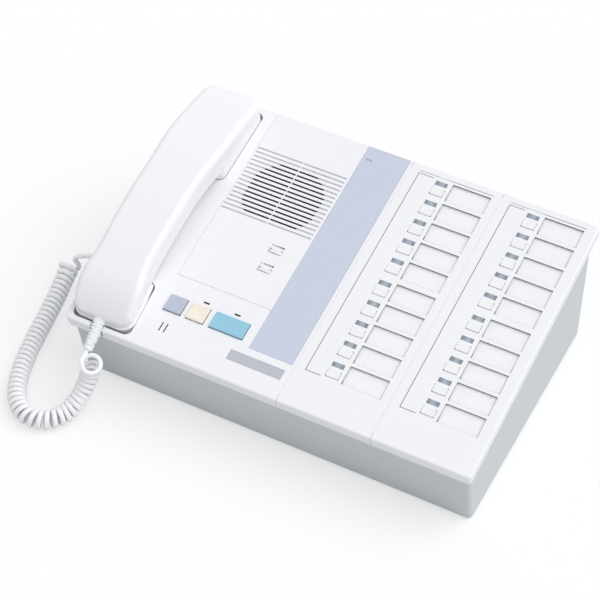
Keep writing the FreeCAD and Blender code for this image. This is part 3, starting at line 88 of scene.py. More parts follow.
cameraSet = {
    "place": (0.41235, -0.84866, 1.07373),
    "target": (-0.01333, -0.02106, 0.060),
    "rollDeg": 0.227,
    "lens": 124.79,
    "sensor": 36.0,
    "clipStart": 0.01,
}
lightSet = {
    "skyColor": (0.965, 0.98, 1.0, 1),
    "skyStrength": 0.63,
    "sunStrength": 1.42,
    "sunAngleDeg": 55.0,
    "sunFrom": (0.50, 0.22, 0.84),
    "floorSize": 8.0,
    "floorTone": 0.80,
    "floorGlow": 0.55,
}
white = (1, 1, 1, 1)


# camera axes: forward to the target, right level with the floor, both turned by the roll
def makeCamera():
    place = Vector(cameraSet["place"])
    forward = (Vector(cameraSet["target"]) - place).normalized()
    level = forward.cross(Vector((0, 0, 1))).normalized()
    upright = level.cross(forward)
    roll = math.radians(cameraSet["rollDeg"])
    right = level * math.cos(roll) + upright * math.sin(roll)
    up = upright * math.cos(roll) - level * math.sin(roll)
    data = bpy.data.cameras.new("camera")
    data.lens = cameraSet["lens"]
    data.sensor_width = cameraSet["sensor"]
    data.sensor_fit = "HORIZONTAL"
    data.clip_start = cameraSet["clipStart"]
    camera = bpy.data.objects.new("camera", data)
    turn = Matrix((right, up, -forward)).transposed().to_4x4()
    camera.matrix_world = Matrix.Translation(place) @ turn
    bpy.context.scene.collection.objects.link(camera)
    bpy.context.scene.camera = camera


# math node: each input is a number or another node's output
def mathNode(tree, operation, first, second):
    node = tree.nodes.new("ShaderNodeMath")
    node.operation = operation
    for index, value in enumerate((first, second)):
        if isinstance(value, (int, float)):
            node.inputs[index].default_value = value
        else:
            tree.links.new(value, node.inputs[index])
    return node.outputs["Value"]


# sky for light, plain white for what the camera, gloss and glass see, and one very soft sun
def makeLight():
    scene = bpy.context.scene
    scene.view_settings.view_transform = "Standard"
    world = bpy.data.worlds.new("studio")
    world.use_nodes = True
    scene.world = world
    tree = world.node_tree
    tree.nodes.clear()
    out = tree.nodes.new("ShaderNodeOutputWorld")
    sky = tree.nodes.new("ShaderNodeBackground")
    sky.inputs["Color"].default_value = lightSet["skyColor"]
    sky.inputs["Strength"].default_value = lightSet["skyStrength"]
    plain = tree.nodes.new("ShaderNodeBackground")
    plain.inputs["Strength"].default_value = 1.0
    plain.inputs["Color"].default_value = white
    path = tree.nodes.new("ShaderNodeLightPath")
    pick = tree.nodes.new("ShaderNodeMixShader")
    seen = mathNode(tree, "MAXIMUM", path.outputs["Is Camera Ray"], path.outputs["Is Glossy Ray"])
    seen = mathNode(tree, "MAXIMUM", seen, path.outputs["Is Transmission Ray"])
    tree.links.new(seen, pick.inputs["Fac"])
    tree.links.new(sky.outputs["Background"], pick.inputs[1])
    tree.links.new(plain.outputs["Background"], pick.inputs[2])
    tree.links.new(pick.outputs["Shader"], out.inputs["Surface"])
    sun = bpy.data.lights.new("softbox", "SUN")
    sun.energy = lightSet["sunStrength"]
    sun.angle = math.radians(lightSet["sunAngleDeg"])
    lamp = bpy.data.objects.new("softbox", sun)
    lamp.rotation_euler = Vector(lightSet["sunFrom"]).to_track_quat("Z", "Y").to_euler()
    scene.collection.objects.link(lamp)


# floor: one square; camera rays see white paper with a share of plain white, so that the shadow
# stays soft; other rays see floorTone
def makeFloor():
    half = lightSet["floorSize"] / 2
    corners = [(-half, -half, 0), (half, -half, 0), (half, half, 0), (-half, half, 0)]
    mesh = bpy.data.meshes.new("floor")
    mesh.from_pydata(corners, [], [(0, 1, 2, 3)])
    floor = bpy.data.objects.new("floor", mesh)
    bpy.context.scene.collection.objects.link(floor)
    material = bpy.data.materials.new("floorPaper")
    material.use_nodes = True
    tree = material.node_tree
    tree.nodes.clear()
    out = tree.nodes.new("ShaderNodeOutputMaterial")
    seen = tree.nodes.new("ShaderNodeBsdfDiffuse")
    seen.inputs["Color"].default_value = white
    other = tree.nodes.new("ShaderNodeBsdfDiffuse")
    tone = lightSet["floorTone"]
    other.inputs["Color"].default_value = (tone, tone, tone, 1)
    path = tree.nodes.new("ShaderNodeLightPath")
    pick = tree.nodes.new("ShaderNodeMixShader")
    tree.links.new(path.outputs["Is Camera Ray"], pick.inputs["Fac"])
    tree.links.new(other.outputs["BSDF"], pick.inputs[1])
    glow = tree.nodes.new("ShaderNodeEmission")
    glow.inputs["Strength"].default_value = 1.0
    paper = tree.nodes.new("ShaderNodeMixShader")
    paper.inputs["Fac"].default_value = lightSet["floorGlow"]
    tree.links.new(seen.outputs["BSDF"], paper.inputs[1])
    tree.links.new(glow.outputs["Emission"], paper.inputs[2])
    tree.links.new(paper.outputs["Shader"], pick.inputs[2])
    tree.links.new(pick.outputs["Shader"], out.inputs["Surface"])
    mesh.materials.append(material)


makeCamera()
makeLight()
makeFloor()
print("camera, light and floor set")


# shared surface effects

grainSet = {
    "fineDetail": 3.0,
    "slowDetail": 4.0,
    "slowRough": 0.55,
    "slowShare": 0.35,
}


# empty node group with its named sockets
def newGroup(name, inputs, outputs):
    group = bpy.data.node_groups.new(name, "ShaderNodeTree")
    for label, kind, value in inputs:
        socket = group.interface.new_socket(label, in_out="INPUT", socket_type=kind)
        socket.default_value = value
    for label, kind in outputs:
        group.interface.new_socket(label, in_out="OUTPUT", socket_type=kind)
    return group, group.nodes.new("NodeGroupInput"), group.nodes.new("NodeGroupOutput")


# mould grain: height = fine noise + a little coarse noise; mask = slow mottle from 0 to 1
def makeGrainGroup():
    group, given, made = newGroup(
        "mouldGrain",
        [
            ("Vector", "NodeSocketVector", (0, 0, 0)),
            ("Grain Scale", "NodeSocketFloat", 1800.0),
            ("Mottle Scale", "NodeSocketFloat", 30.0),
        ],
        [("Height", "NodeSocketFloat"), ("Mottle", "NodeSocketFloat")],
    )
    fine = group.nodes.new("ShaderNodeTexNoise")
    fine.inputs["Detail"].default_value = grainSet["fineDetail"]
    slow = group.nodes.new("ShaderNodeTexNoise")
    slow.inputs["Detail"].default_value = grainSet["slowDetail"]
    slow.inputs["Roughness"].default_value = grainSet["slowRough"]
    group.links.new(given.outputs["Vector"], fine.inputs["Vector"])
    group.links.new(given.outputs["Vector"], slow.inputs["Vector"])
    group.links.new(given.outputs["Grain Scale"], fine.inputs["Scale"])
    group.links.new(given.outputs["Mottle Scale"], slow.inputs["Scale"])
    wave = mathNode(group, "MULTIPLY", slow.outputs["Fac"], grainSet["slowShare"])
    height = mathNode(group, "ADD", fine.outputs["Fac"], wave)
    group.links.new(height, made.inputs["Height"])
    group.links.new(slow.outputs["Fac"], made.inputs["Mottle"])
    return group


# handled surface: roughness = base + (mottle - 0.5) * spread; colour = mix of two tones by mottle
def makeToneGroup():
    group, given, made = newGroup(
        "handledTone",
        [
            ("Mottle", "NodeSocketFloat", 0.5),
            ("Light", "NodeSocketColor", (0.8, 0.8, 0.8, 1)),
            ("Dark", "NodeSocketColor", (0.7, 0.7, 0.7, 1)),
            ("Rough", "NodeSocketFloat", 0.5),
            ("Spread", "NodeSocketFloat", 0.2),
        ],
        [("Color", "NodeSocketColor"), ("Roughness", "NodeSocketFloat")],
    )
    blend = group.nodes.new("ShaderNodeMix")
    blend.data_type = "RGBA"
    group.links.new(given.outputs["Mottle"], blend.inputs["Factor"])
    group.links.new(given.outputs["Light"], blend.inputs["A"])
    group.links.new(given.outputs["Dark"], blend.inputs["B"])
    shift = mathNode(group, "SUBTRACT", given.outputs["Mottle"], 0.5)
    scaled = mathNode(group, "MULTIPLY", shift, given.outputs["Spread"])
    rough = mathNode(group, "ADD", scaled, given.outputs["Rough"])
    group.links.new(blend.outputs["Result"], made.inputs["Color"])
    group.links.new(rough, made.inputs["Roughness"])
    return group


# place on the sloping top in mm: each axis = (point - origin of the top) dotted with that axis
def makePlaceGroup():
    group, given, made = newGroup(
        "panelPlace",
        [("Vector", "NodeSocketVector", (0, 0, 0))],
        [(label, "NodeSocketFloat") for label in ("Right", "Along", "Height")],
    )
    shift = group.nodes.new("ShaderNodeVectorMath")
    shift.operation = "SUBTRACT"
    shift.inputs[1].default_value = panelOrigin
    group.links.new(given.outputs["Vector"], shift.inputs[0])
    ways = {"Right": panelRight, "Along": panelAlong, "Height": panelUp}
    for label, way in ways.items():
        dot = group.nodes.new("ShaderNodeVectorMath")
        dot.operation = "DOT_PRODUCT"
        dot.inputs[1].default_value = way / mm
        group.links.new(shift.outputs["Vector"], dot.inputs[0])
        group.links.new(dot.outputs["Value"], made.inputs[label])
    return group


grainGroup = makeGrainGroup()
toneGroup = makeToneGroup()
placeGroup = makePlaceGroup()


# soft step from 0 at the start to 1 at the end, whichever of the two is larger
def softStep(tree, value, start, end):
    step = tree.nodes.new("ShaderNodeMapRange")
    step.interpolation_type = "SMOOTHSTEP"
    step.inputs["From Min"].default_value = min(start, end)
    step.inputs["From Max"].default_value = max(start, end)
    step.inputs["To Min"].default_value = 0.0 if start < end else 1.0
    step.inputs["To Max"].default_value = 1.0 if start < end else 0.0
    tree.links.new(value, step.inputs["Value"])
    return step.outputs["Result"]


# 1 between low and high, 0 outside
def softBand(tree, value, low, high, soft=0.15):
    rise = softStep(tree, value, low - soft, low + soft)
    fall = softStep(tree, value, high + soft, high - soft)
    return times(tree, rise, fall)


# 1 inside a rectangle of the top, given as left, right, front and rear
def softRectangle(tree, right, along, edges):
    return times(tree, softBand(tree, right, *edges[:2]), softBand(tree, along, *edges[2:]))


def times(tree, first, second):
    return mathNode(tree, "MULTIPLY", first, second)


def highest(tree, first, second):
    return mathNode(tree, "MAXIMUM", first, second)


# 1 where the mask is 0, and the other way round
def without(tree, mask):
    return mathNode(tree, "SUBTRACT", 1.0, mask)


def product(tree, values):
    whole = values[0]
    for value in values[1:]:
        whole = times(tree, whole, value)
    return whole


# sRGB value from 0 to 255 to linear light
def linear(color):
    share = np.asarray(color, float) / 255.0
    bright = ((share + 0.055) / 1.055) ** 2.4
    return tuple(np.where(share > 0.04045, bright, share / 12.92))


# painted shade where openings look dark, also the colour of the printed scale marks; places and
# heights in mm on the top, rectangles as left, right, front and rear, and pairs of heights as
# where the painted shade begins and where it is full
shadeAndPrintSet = {
    # colour and strength of the painted shade; the printed scale marks take the same colour
    "color": (0.055, 0.058, 0.068, 1),
    "share": 0.9,
    "depth": (-0.14, -0.42),
    "field": (-92.9, 144.2, 2.8, 204.2),
    "seamHalf": 1.6,
    "mainEnd": (9.5, 9.3),
    "panelLine": (58.8, 60.4),
    "grille": (-93.2, -24.0, 118.8, 176.6),
    "grooveLight": 0.76,
    "speaker": (-57.6, 144.0, 28.0, 26.3),  # middle, radius and half width between the flats
    "speakerSoft": 0.2,
    "openRows": (123.1, 168.8),
    "keyBand": (20.1, 29.9),  # from a selector's left edge
    "keyLight": 0.72,
    "cardBand": (32.2, 61.0),
    "cardEdge": (-0.03, -0.12),
    "cardFloor": (-1.13, -1.28),
    "windows": ((-47.0, -36.0, 83.9, 88.3), (-47.0, -36.0, 99.8, 104.2)),
    "scales": (-47.5, -35.5, 89.0, 108.5),
    "scaleHeight": (0.10, 0.16),
    # painted shade in the handset's well and in the gap at the mouth end
    "well": (-125.0, -96.0, 8.0, 188.0),
    "wellTop": (-0.15, -0.5),
    "wellEnd": (-3.0, -2.2),
    "wellShare": 0.6,
    "mouth": (-143.6, -98.4, 3.1, 5.8),
    "mouthTop": (-0.5, -1.6),
    # painted shade on the keys' feet and on the lens rims, and the lenses darker towards their
    # ends
    "mouthShare": 0.85,
    "keyFootShade": (0.32, 0.02),
    "lensBright": (23.2, 27.2),
    "lensSoft": 1.3,
    "lensEnds": 0.42,
    "lensRim": (-0.17, -0.5),
    "lensRimShare": 0.8,
}


# speaker openings: inside the circle, between its flats and in the open rows
def speakerMask(tree, right, along):
    x, y, radius, flat = shadeAndPrintSet["speaker"]
    soft = shadeAndPrintSet["speakerSoft"]
    dx = mathNode(tree, "SUBTRACT", right, x)
    dy = mathNode(tree, "SUBTRACT", along, y)
    square = mathNode(tree, "ADD", times(tree, dx, dx), times(tree, dy, dy))
    away = mathNode(tree, "SQRT", square, 0.0)
    inside = softStep(tree, away, radius + soft, radius - soft)
    rows = softBand(tree, along, *shadeAndPrintSet["openRows"])
    return product(tree, [inside, softBand(tree, right, x - flat, x + flat), rows])


# parts of the covers where the painted shade is held back: outside the field, by the seams, in
# the panel line, in the closed grooves, round the call buttons and on the card pockets' floors
def shadeHoldBackMasks(tree, right, along, height):
    s = shadeAndPrintSet
    masks = [softRectangle(tree, right, along, s["field"])]
    half = s["seamHalf"]
    for left in panel["selectorLefts"]:
        masks.append(without(tree, softBand(tree, right, left - half, left + half)))
    onMain = softStep(tree, right, *s["mainEnd"])
    masks.append(without(tree, times(tree, softBand(tree, along, *s["panelLine"]), onMain)))
    closed = without(tree, speakerMask(tree, right, along))
    grooves = times(tree, softRectangle(tree, right, along, s["grille"]), closed)
    masks.append(without(tree, times(tree, grooves, s["grooveLight"])))
    low = softStep(tree, height, *s["cardFloor"])
    for left in panel["selectorLefts"]:
        keys = softBand(tree, right, *(left + edge for edge in s["keyBand"]))
        cards = softBand(tree, right, *(left + edge for edge in s["cardBand"]))
        masks.append(without(tree, times(tree, keys, s["keyLight"])))
        masks.append(without(tree, times(tree, cards, low)))
    return masks


# painted shade in the openings of the covers = the stronger of depth and edge, times the masks
# that hold it back; edge starts at the surface, in card pockets and wheel windows; painted shade
# in the wells and in the gap at the mouth end, and the printed scale marks, are laid over it
def coverShadeAndPrint(tree, place):
    s = shadeAndPrintSet
    right, along, height = (place.outputs[name] for name in ("Right", "Along", "Height"))
    sharp = [softRectangle(tree, right, along, window) for window in s["windows"]]
    for left in panel["selectorLefts"]:
        sharp.append(softBand(tree, right, *(left + edge for edge in s["cardBand"])))
    spots = sharp[0]
    for spot in sharp[1:]:
        spots = mathNode(tree, "ADD", spots, spot)
    edge = times(tree, spots, softStep(tree, height, *s["cardEdge"]))
    deep = softStep(tree, height, *s["depth"])
    masks = shadeHoldBackMasks(tree, right, along, height)
    shade = product(tree, [highest(tree, deep, edge), *masks])
    # painted shade in the well and in the gap at the mouth end; the scale marks after them are
    # print
    well = [softStep(tree, height, *s["wellTop"]), softStep(tree, height, *s["wellEnd"])]
    well.append(softRectangle(tree, right, along, s["well"]))
    mouth = [softStep(tree, height, *s["mouthTop"])]
    mouth.append(softRectangle(tree, right, along, s["mouth"]))
    marks = [softStep(tree, height, *s["scaleHeight"])]
    marks.append(softRectangle(tree, right, along, s["scales"]))
    for part, share in ((well, s["wellShare"]), (mouth, s["mouthShare"]), (marks, 1.0)):
        shade = highest(tree, shade, times(tree, product(tree, part), share))
    return times(tree, shade, s["share"])


# foot of a key: a mask of painted shade on the part that stands in its opening
def makeKeyShadeGroup():
    inputs = [("Height", "NodeSocketFloat", 0.0)]
    group, given, made = newGroup("keyFootShade", inputs, [("Mask", "NodeSocketFloat")])
    foot = softStep(group, given.outputs["Height"], *shadeAndPrintSet["keyFootShade"])
    group.links.new(times(group, foot, shadeAndPrintSet["share"]), made.inputs["Mask"])
    return group


keyShadeGroup = makeKeyShadeGroup()


# painted shade on a key's foot, read from its height on the top
def shadeKeyFoot(tree, place):
    foot = tree.nodes.new("ShaderNodeGroup")
    foot.node_tree = keyShadeGroup
    tree.links.new(place.outputs["Height"], foot.inputs["Height"])
    return foot.outputs["Mask"]


# painted shade on the rim of a call lamp's lens below the top, and the lens darker towards its
# ends
def lensRimShadeAndEnds(tree, place):
    s = shadeAndPrintSet
    right = place.outputs["Right"]
    bright = []
    for left in panel["selectorLefts"]:
        edges = (left + edge for edge in s["lensBright"])
        bright.append(softBand(tree, right, *edges, s["lensSoft"]))
    ends = without(tree, highest(tree, *bright))
    rim = softStep(tree, place.outputs["Height"], *s["lensRim"])
    return highest(tree, times(tree, rim, s["lensRimShare"]), times(tree, ends, s["lensEnds"]))


plainFinish = {
    "grain": 1800.0,
    "bump": 0.000012,
    "mottle": 28.0,
    "deepen": 0.97,
    "spread": 0.16,
    "shadeAndPrint": None,
    "source": "Object",
}


# moulded surface: tone by slow mottle, bump by fine grain, gloss from the shader's own sockets;
# deepen = dark tone / light tone, and the given mask mixes in the colour of painted shade and
# print
def moulded(name, color, rough, sockets=None, **changes):
    s = {**plainFinish, **changes}
    material = bpy.data.materials.new(name)
    material.use_nodes = True
    tree = material.node_tree
    shader = tree.nodes["Principled BSDF"]
    spot = tree.nodes.new("ShaderNodeTexCoord")
    texture = tree.nodes.new("ShaderNodeGroup")
    texture.node_tree = grainGroup
    texture.inputs["Grain Scale"].default_value = s["grain"]
    texture.inputs["Mottle Scale"].default_value = s["mottle"]
    tree.links.new(spot.outputs[s["source"]], texture.inputs["Vector"])
    tone = tree.nodes.new("ShaderNodeGroup")
    tone.node_tree = toneGroup
    base = np.array(linear(color))
    apart = math.sqrt(s["deepen"])
    tone.inputs["Light"].default_value = (*np.minimum(base / apart, 1.0), 1)
    tone.inputs["Dark"].default_value = (*(base * apart), 1)
    tone.inputs["Rough"].default_value = rough
    tone.inputs["Spread"].default_value = s["spread"]
    tree.links.new(texture.outputs["Mottle"], tone.inputs["Mottle"])
    surface = tone.outputs["Color"]
    # painted shade, and print, mixed into the colour by the given mask
    if s["shadeAndPrint"]:
        place = tree.nodes.new("ShaderNodeGroup")
        place.node_tree = placeGroup
        tree.links.new(spot.outputs["Object"], place.inputs["Vector"])
        shade = tree.nodes.new("ShaderNodeMix")
        shade.data_type = "RGBA"
        tree.links.new(s["shadeAndPrint"](tree, place), shade.inputs["Factor"])
        tree.links.new(surface, shade.inputs["A"])
        shade.inputs["B"].default_value = shadeAndPrintSet["color"]
        surface = shade.outputs["Result"]
    tree.links.new(surface, shader.inputs["Base Color"])
    tree.links.new(tone.outputs["Roughness"], shader.inputs["Roughness"])
    relief = tree.nodes.new("ShaderNodeBump")
    relief.inputs["Strength"].default_value = 1.0
    relief.inputs["Distance"].default_value = s["bump"]
    tree.links.new(texture.outputs["Height"], relief.inputs["Height"])
    tree.links.new(relief.outputs["Normal"], shader.inputs["Normal"])
    for socket, value in (sockets or {}).items():
        shader.inputs[socket].default_value = value
    return material


# colour from 0 to 255, roughness, and what differs from plainFinish
keyMould = {"grain": 2400.0, "bump": 0.000008}
# keys in their openings carry painted shade on their feet
keyInHole = {**keyMould, "shadeAndPrint": shadeKeyFoot}
finishSet = {
    # the covers carry painted shade in their openings, wells and gaps, beside the printed scale
    # marks
    "coverWhite": ((245, 245, 248), 0.42, {
        "grain": 2200.0, "bump": 0.000010, "deepen": 0.985, "shadeAndPrint": coverShadeAndPrint,
    }),
    "caseGrey": ((205, 210, 214), 0.50, {"grain": 1500.0, "bump": 0.000024, "deepen": 0.96}),
    "handsetWhite": ((247, 247, 250), 0.34, {"grain": 2600.0, "bump": 0.000006, "deepen": 0.985}),
    "cordWhite": ((250, 250, 252), 0.36, {
        "grain": 900.0, "bump": 0.000010, "mottle": 60.0, "source": "UV",
    }),
    "reliefWhite": ((248, 250, 250), 0.40, {"grain": 1600.0}),
    "stripBlue": ((203, 209, 226), 0.46, {"grain": 2600.0, "bump": 0.000006, "deepen": 0.98}),
    "plateGrey": ((191, 192, 202), 0.38, {"grain": 3000.0, "bump": 0.000004}),
    "keyGreyBlue": ((188, 194, 213), 0.40, keyInHole),
    "keyCream": ((250, 238, 222), 0.40, keyInHole),
    "keyBlue": ((150, 203, 225), 0.38, keyInHole),
    "callWhite": ((244, 245, 248), 0.38, keyMould),
    "wheelWhite": ((238, 239, 242), 0.42, keyMould),
    # the call lamp lenses carry painted shade on their rims and darken towards their ends
    "lampSmoke": ((160, 171, 183), 0.20, {
        "grain": 700.0, "bump": 0.00002, "mottle": 420.0, "deepen": 0.42, "shadeAndPrint": lensRimShadeAndEnds,
    }),
    "lampPale": ((172, 184, 198), 0.24, {"grain": 900.0, "mottle": 120.0}),
    "lampDark": ((52, 44, 50), 0.20, {"grain": 900.0, "mottle": 160.0, "deepen": 0.7}),
    "cardPaper": ((250, 249, 253), 0.75, {"grain": 3200.0, "mottle": 90.0}),
    "rubberBlack": ((38, 38, 41), 0.72, {"grain": 1400.0, "bump": 0.00003, "deepen": 0.85}),
    "mouldBlack": ((30, 30, 33), 0.45, {"grain": 1600.0, "bump": 0.00002, "deepen": 0.9}),
    "screwZinc": ((190, 192, 196), 0.32, {
        "grain": 2600.0, "bump": 0.000008, "deepen": 0.85, "sockets": {"Metallic": 1.0},
    }),
    "speakerBlack": ((22, 22, 24), 0.85, {"grain": 1100.0, "bump": 0.00003, "deepen": 0.8}),
    "boardGreen": ((42, 96, 66), 0.40, {
        "grain": 700.0, "bump": 0.00002, "mottle": 120.0, "deepen": 0.7,
    }),
    "ferrite": ((52, 50, 52), 0.6, {"grain": 900.0, "bump": 0.00003, "deepen": 0.8}),
    "clearSheet": ((250, 251, 255), 0.16, {
        "grain": 900.0, "bump": 0.000004, "mottle": 60.0, "sockets": {"Alpha": 0.10},
    }),
}
finishes = {
    name: moulded(name, color, rough, **changes)
    for name, (color, rough, changes) in finishSet.items()
}

# finish of each carried solid; the call buttons take callWhite
nodeFinishes = {
    "base_case": "caseGrey",
    "rubber_feet": "rubberBlack",
    "case_screws": "screwZinc",
    "terminal_block": "mouldBlack",
    "main_cover": "coverWhite",
    "selector_cover_1": "coverWhite",
    "selector_cover_2": "coverWhite",
    "colour_strip": "stripBlue",
    "blank_plate": "plateGrey",
    "power_lens": "lampPale",
    "key_lamp_lenses": "lampDark",
    "call_lamp_lenses": "lampSmoke",
    "selector_board_1": "boardGreen",
    "selector_board_2": "boardGreen",
    "main_board": "boardGreen",
    "name_cards": "cardPaper",
    "card_windows": "clearSheet",
    "call_switches": "mouldBlack",
    "key_switches": "mouldBlack",
    "volume_pots": "mouldBlack",
    "hook_switch": "mouldBlack",
    "off_button": "keyGreyBlue",
    "all_call_button": "keyCream",
    "talk_button": "keyBlue",
    "ring_volume_wheel": "wheelWhite",
    "receive_volume_wheel": "wheelWhite",
    "station_microphone": "screwZinc",
    "speaker_frame": "mouldBlack",
    "speaker_cone": "speakerBlack",
    "speaker_magnet": "ferrite",
    "hook_button": "handsetWhite",
    "board_screws": "screwZinc",
    "handset_back": "handsetWhite",
    "handset_front": "handsetWhite",
    "receiver_capsule": "screwZinc",
    "transmitter_capsule": "screwZinc",
    "handset_strain_relief": "reliefWhite",
    "handset_jack": "mouldBlack",
    "base_plug": "reliefWhite",
    "curly_cord": "reliefWhite",
}


# every carried solid gets its finish in each of its slots
def dressNodes():
    for name, node in nodes.items():
        finish = finishes[nodeFinishes.get(name, "callWhite")]
        if not node.material_slots:
            node.data.materials.append(finish)
        for slot in node.material_slots:
            slot.material = finish


dressNodes()
print("finishes made:", len(finishes))


# surfaces on a grid


# quads between neighbouring rings of a grid; each ring joins its last point to its first
def gridFaces(rows, columns):
    r = columns * np.arange(rows - 1)[:, None]
    c = np.arange(columns)[None, :]
    after = (c + 1) % columns
    corners = [r + c, r + after, r + columns + after, r + columns + c]
    return np.stack(corners, -1).reshape(-1, 4)


# piece from grids that close round; each end gets a fan about the mean of its ring
def gridPiece(name, grids, finish, body, uv=None):
    verts = []
    polys = []
    count = 0
    for points in grids:
        rows, columns = points.shape[:2]
        ring = np.arange(columns)
        after = (ring + 1) % columns
        final = (rows - 1) * columns
        base = rows * columns
        first = np.stack([after, ring, np.full(columns, base)], -1)
        last = np.stack([final + ring, final + after, np.full(columns, base + 1)], -1)
        polys += [block + count for block in (gridFaces(rows, columns), first, last)]
        verts += [points.reshape(-1, 3), points[0].mean(0)[None], points[-1].mean(0)[None]]
        count += base + 2
    mesh = bpy.data.meshes.new(name)
    faces = [tuple(face) for block in polys for face in block.tolist()]
    mesh.from_pydata(np.vstack(verts).tolist(), [], faces)
    mesh.shade_smooth()
    if uv is not None:
        layer = mesh.uv_layers.new(name="UVMap")
        index = np.zeros(len(mesh.loops), np.int32)
        mesh.loops.foreach_get("vertex_index", index)
        flat = np.vstack([uv.reshape(-1, 2), uv[0].mean(0), uv[-1].mean(0)])
        layer.data.foreach_set("uv", flat[index].astype(np.float32).ravel())
    mesh.materials.append(finishes[finish])
    piece = bpy.data.objects.new(name, mesh)
    bpy.context.scene.collection.objects.link(piece)
    if body:
        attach(piece, body)
    return piece


# curly cord

cordSet = {
    "route": [
        (-0.1150, -0.1212, 0.0440),
        (-0.1180, -0.1171, 0.0382),
        (-0.1188, -0.1190, 0.0290),
        (-0.1205, -0.1270, 0.0170),
        (-0.1245, -0.1390, 0.0088),
        (-0.1325, -0.1510, 0.0073),
        (-0.1465, -0.1552, 0.0071),
        (-0.1605, -0.1470, 0.0071),
        (-0.1700, -0.1310, 0.0071),
        (-0.1765, -0.1100, 0.0071),
        (-0.1808, -0.0885, 0.0073),
        (-0.1843, -0.0665, 0.0082),
        (-0.1875, -0.0455, 0.0110),
        (-0.1903, -0.0285, 0.0165),
    ],
    "routeOrder": 3,
    "routeSteps": 40,  # between two neighbouring points
    "lineSteps": 1600,
    "bendSteps": 20,  # on each side of a point, to even out its bend
    "wire": 0.0032,
    "halfAcross": 0.00150,
    "halfAlong": 0.00166,
    "flatness": 2.6,
    "curlRadius": 0.0052,
    "pitch": 0.00412,
    "clear": 0.0002,
    "flareLength": 0.014,
    "flareRadius": 0.0012,
    "flarePitch": 0.0020,
    "startDeg": 153.0,
    "endDeg": 180.0,
    "stepsPerCurl": 28,
    "sides": 16,
    "tip": (-0.1222, -0.11430, 0.04705),
    "tipWay": (0.0, -0.845, -0.534),
    "bootTip": (-0.153, -0.019, 0.025),
    "bootWay": (1.0, 0.0, 0.0),
    "leadSteps": 34,
    "leadPull": 1.15,
    "blendStart": (-0.150, -0.150, 0.010),
    "blendEnd": (-0.1165, -0.16005, 0.0435),
}


# route: NURBS spline that starts and ends at its end points, read as a line of points
def readRoute(points, name):
    curve = bpy.data.curves.new(name, "CURVE")
    curve.dimensions = "3D"
    curve.resolution_u = cordSet["routeSteps"]
    spline = curve.splines.new("NURBS")
    spline.points.add(len(points) - 1)
    for control, point in zip(spline.points, points):
        control.co = (*point, 1)
    spline.order_u = cordSet["routeOrder"]
    spline.use_endpoint_u = True
    guide = bpy.data.objects.new(name, curve)
    bpy.context.scene.collection.objects.link(guide)
    bpy.context.view_layer.update()
    line = bpy.data.meshes.new_from_object(guide)
    found = np.zeros(len(line.vertices) * 3)
    line.vertices.foreach_get("co", found)
    bpy.data.objects.remove(guide)
    bpy.data.meshes.remove(line)
    return found.reshape(-1, 3)


# vectors over their lengths
def unit(vectors):
    return vectors / np.linalg.norm(vectors, axis=-1, keepdims=True)


# even points: distance along the line, then each coordinate read at equal distances
def evenLine(line, count):
    run = np.r_[0.0, np.cumsum(np.linalg.norm(np.diff(line, axis=0), axis=1))]
    wanted = np.linspace(0.0, run[-1], count)
    return np.stack([np.interp(wanted, run, line[:, k]) for k in range(3)], -1), wanted


# sides carried along the line without twist: each is the last one made square to the next heading
def carrySide(headings, first):
    sides = np.zeros_like(headings)
    side = np.array(first, float)
    for index, heading in enumerate(headings):
        side = side - heading * side.dot(heading)
        side = side / np.linalg.norm(side)
        sides[index] = side
    return sides


# lead: cubic from p0 along t0 to p1 along t1, each way times the gap between them and the pull
def leadLine(p0, t0, p1, t1):
    reach = np.linalg.norm(p1 - p0) * cordSet["leadPull"]
    s = np.linspace(0.0, 1.0, cordSet["leadSteps"])[:, None]
    a = 2 * s**3 - 3 * s**2 + 1
    b = s**3 - 2 * s**2 + s
    c = -2 * s**3 + 3 * s**2
    d = s**3 - s**2
    return a * p0 + b * t0 * reach + c * p1 + d * t1 * reach


# rounded square: cos and sin each raised to 2 / flatness, with their signs kept
def roundedSquare(count, flatness):
    angle = np.linspace(0, 2 * np.pi, count, endpoint=False)
    return [np.sign(k) * np.abs(k) ** (2.0 / flatness) for k in (np.cos(angle), np.sin(angle))]


# tube: the section's two half widths times a rounded square, square to the path's heading
def tubeGrid(path, sides, halfAcross, halfAlong, flatness, count):
    headings = unit(np.gradient(path, axis=0))
    across = unit(sides - headings * (sides * headings).sum(-1, keepdims=True))
    other = np.cross(headings, across)
    c, s = roundedSquare(count, flatness)
    out = halfAcross * across[:, None] * c[None, :, None]
    return path[:, None] + out + halfAlong * other[:, None] * s[None, :, None]


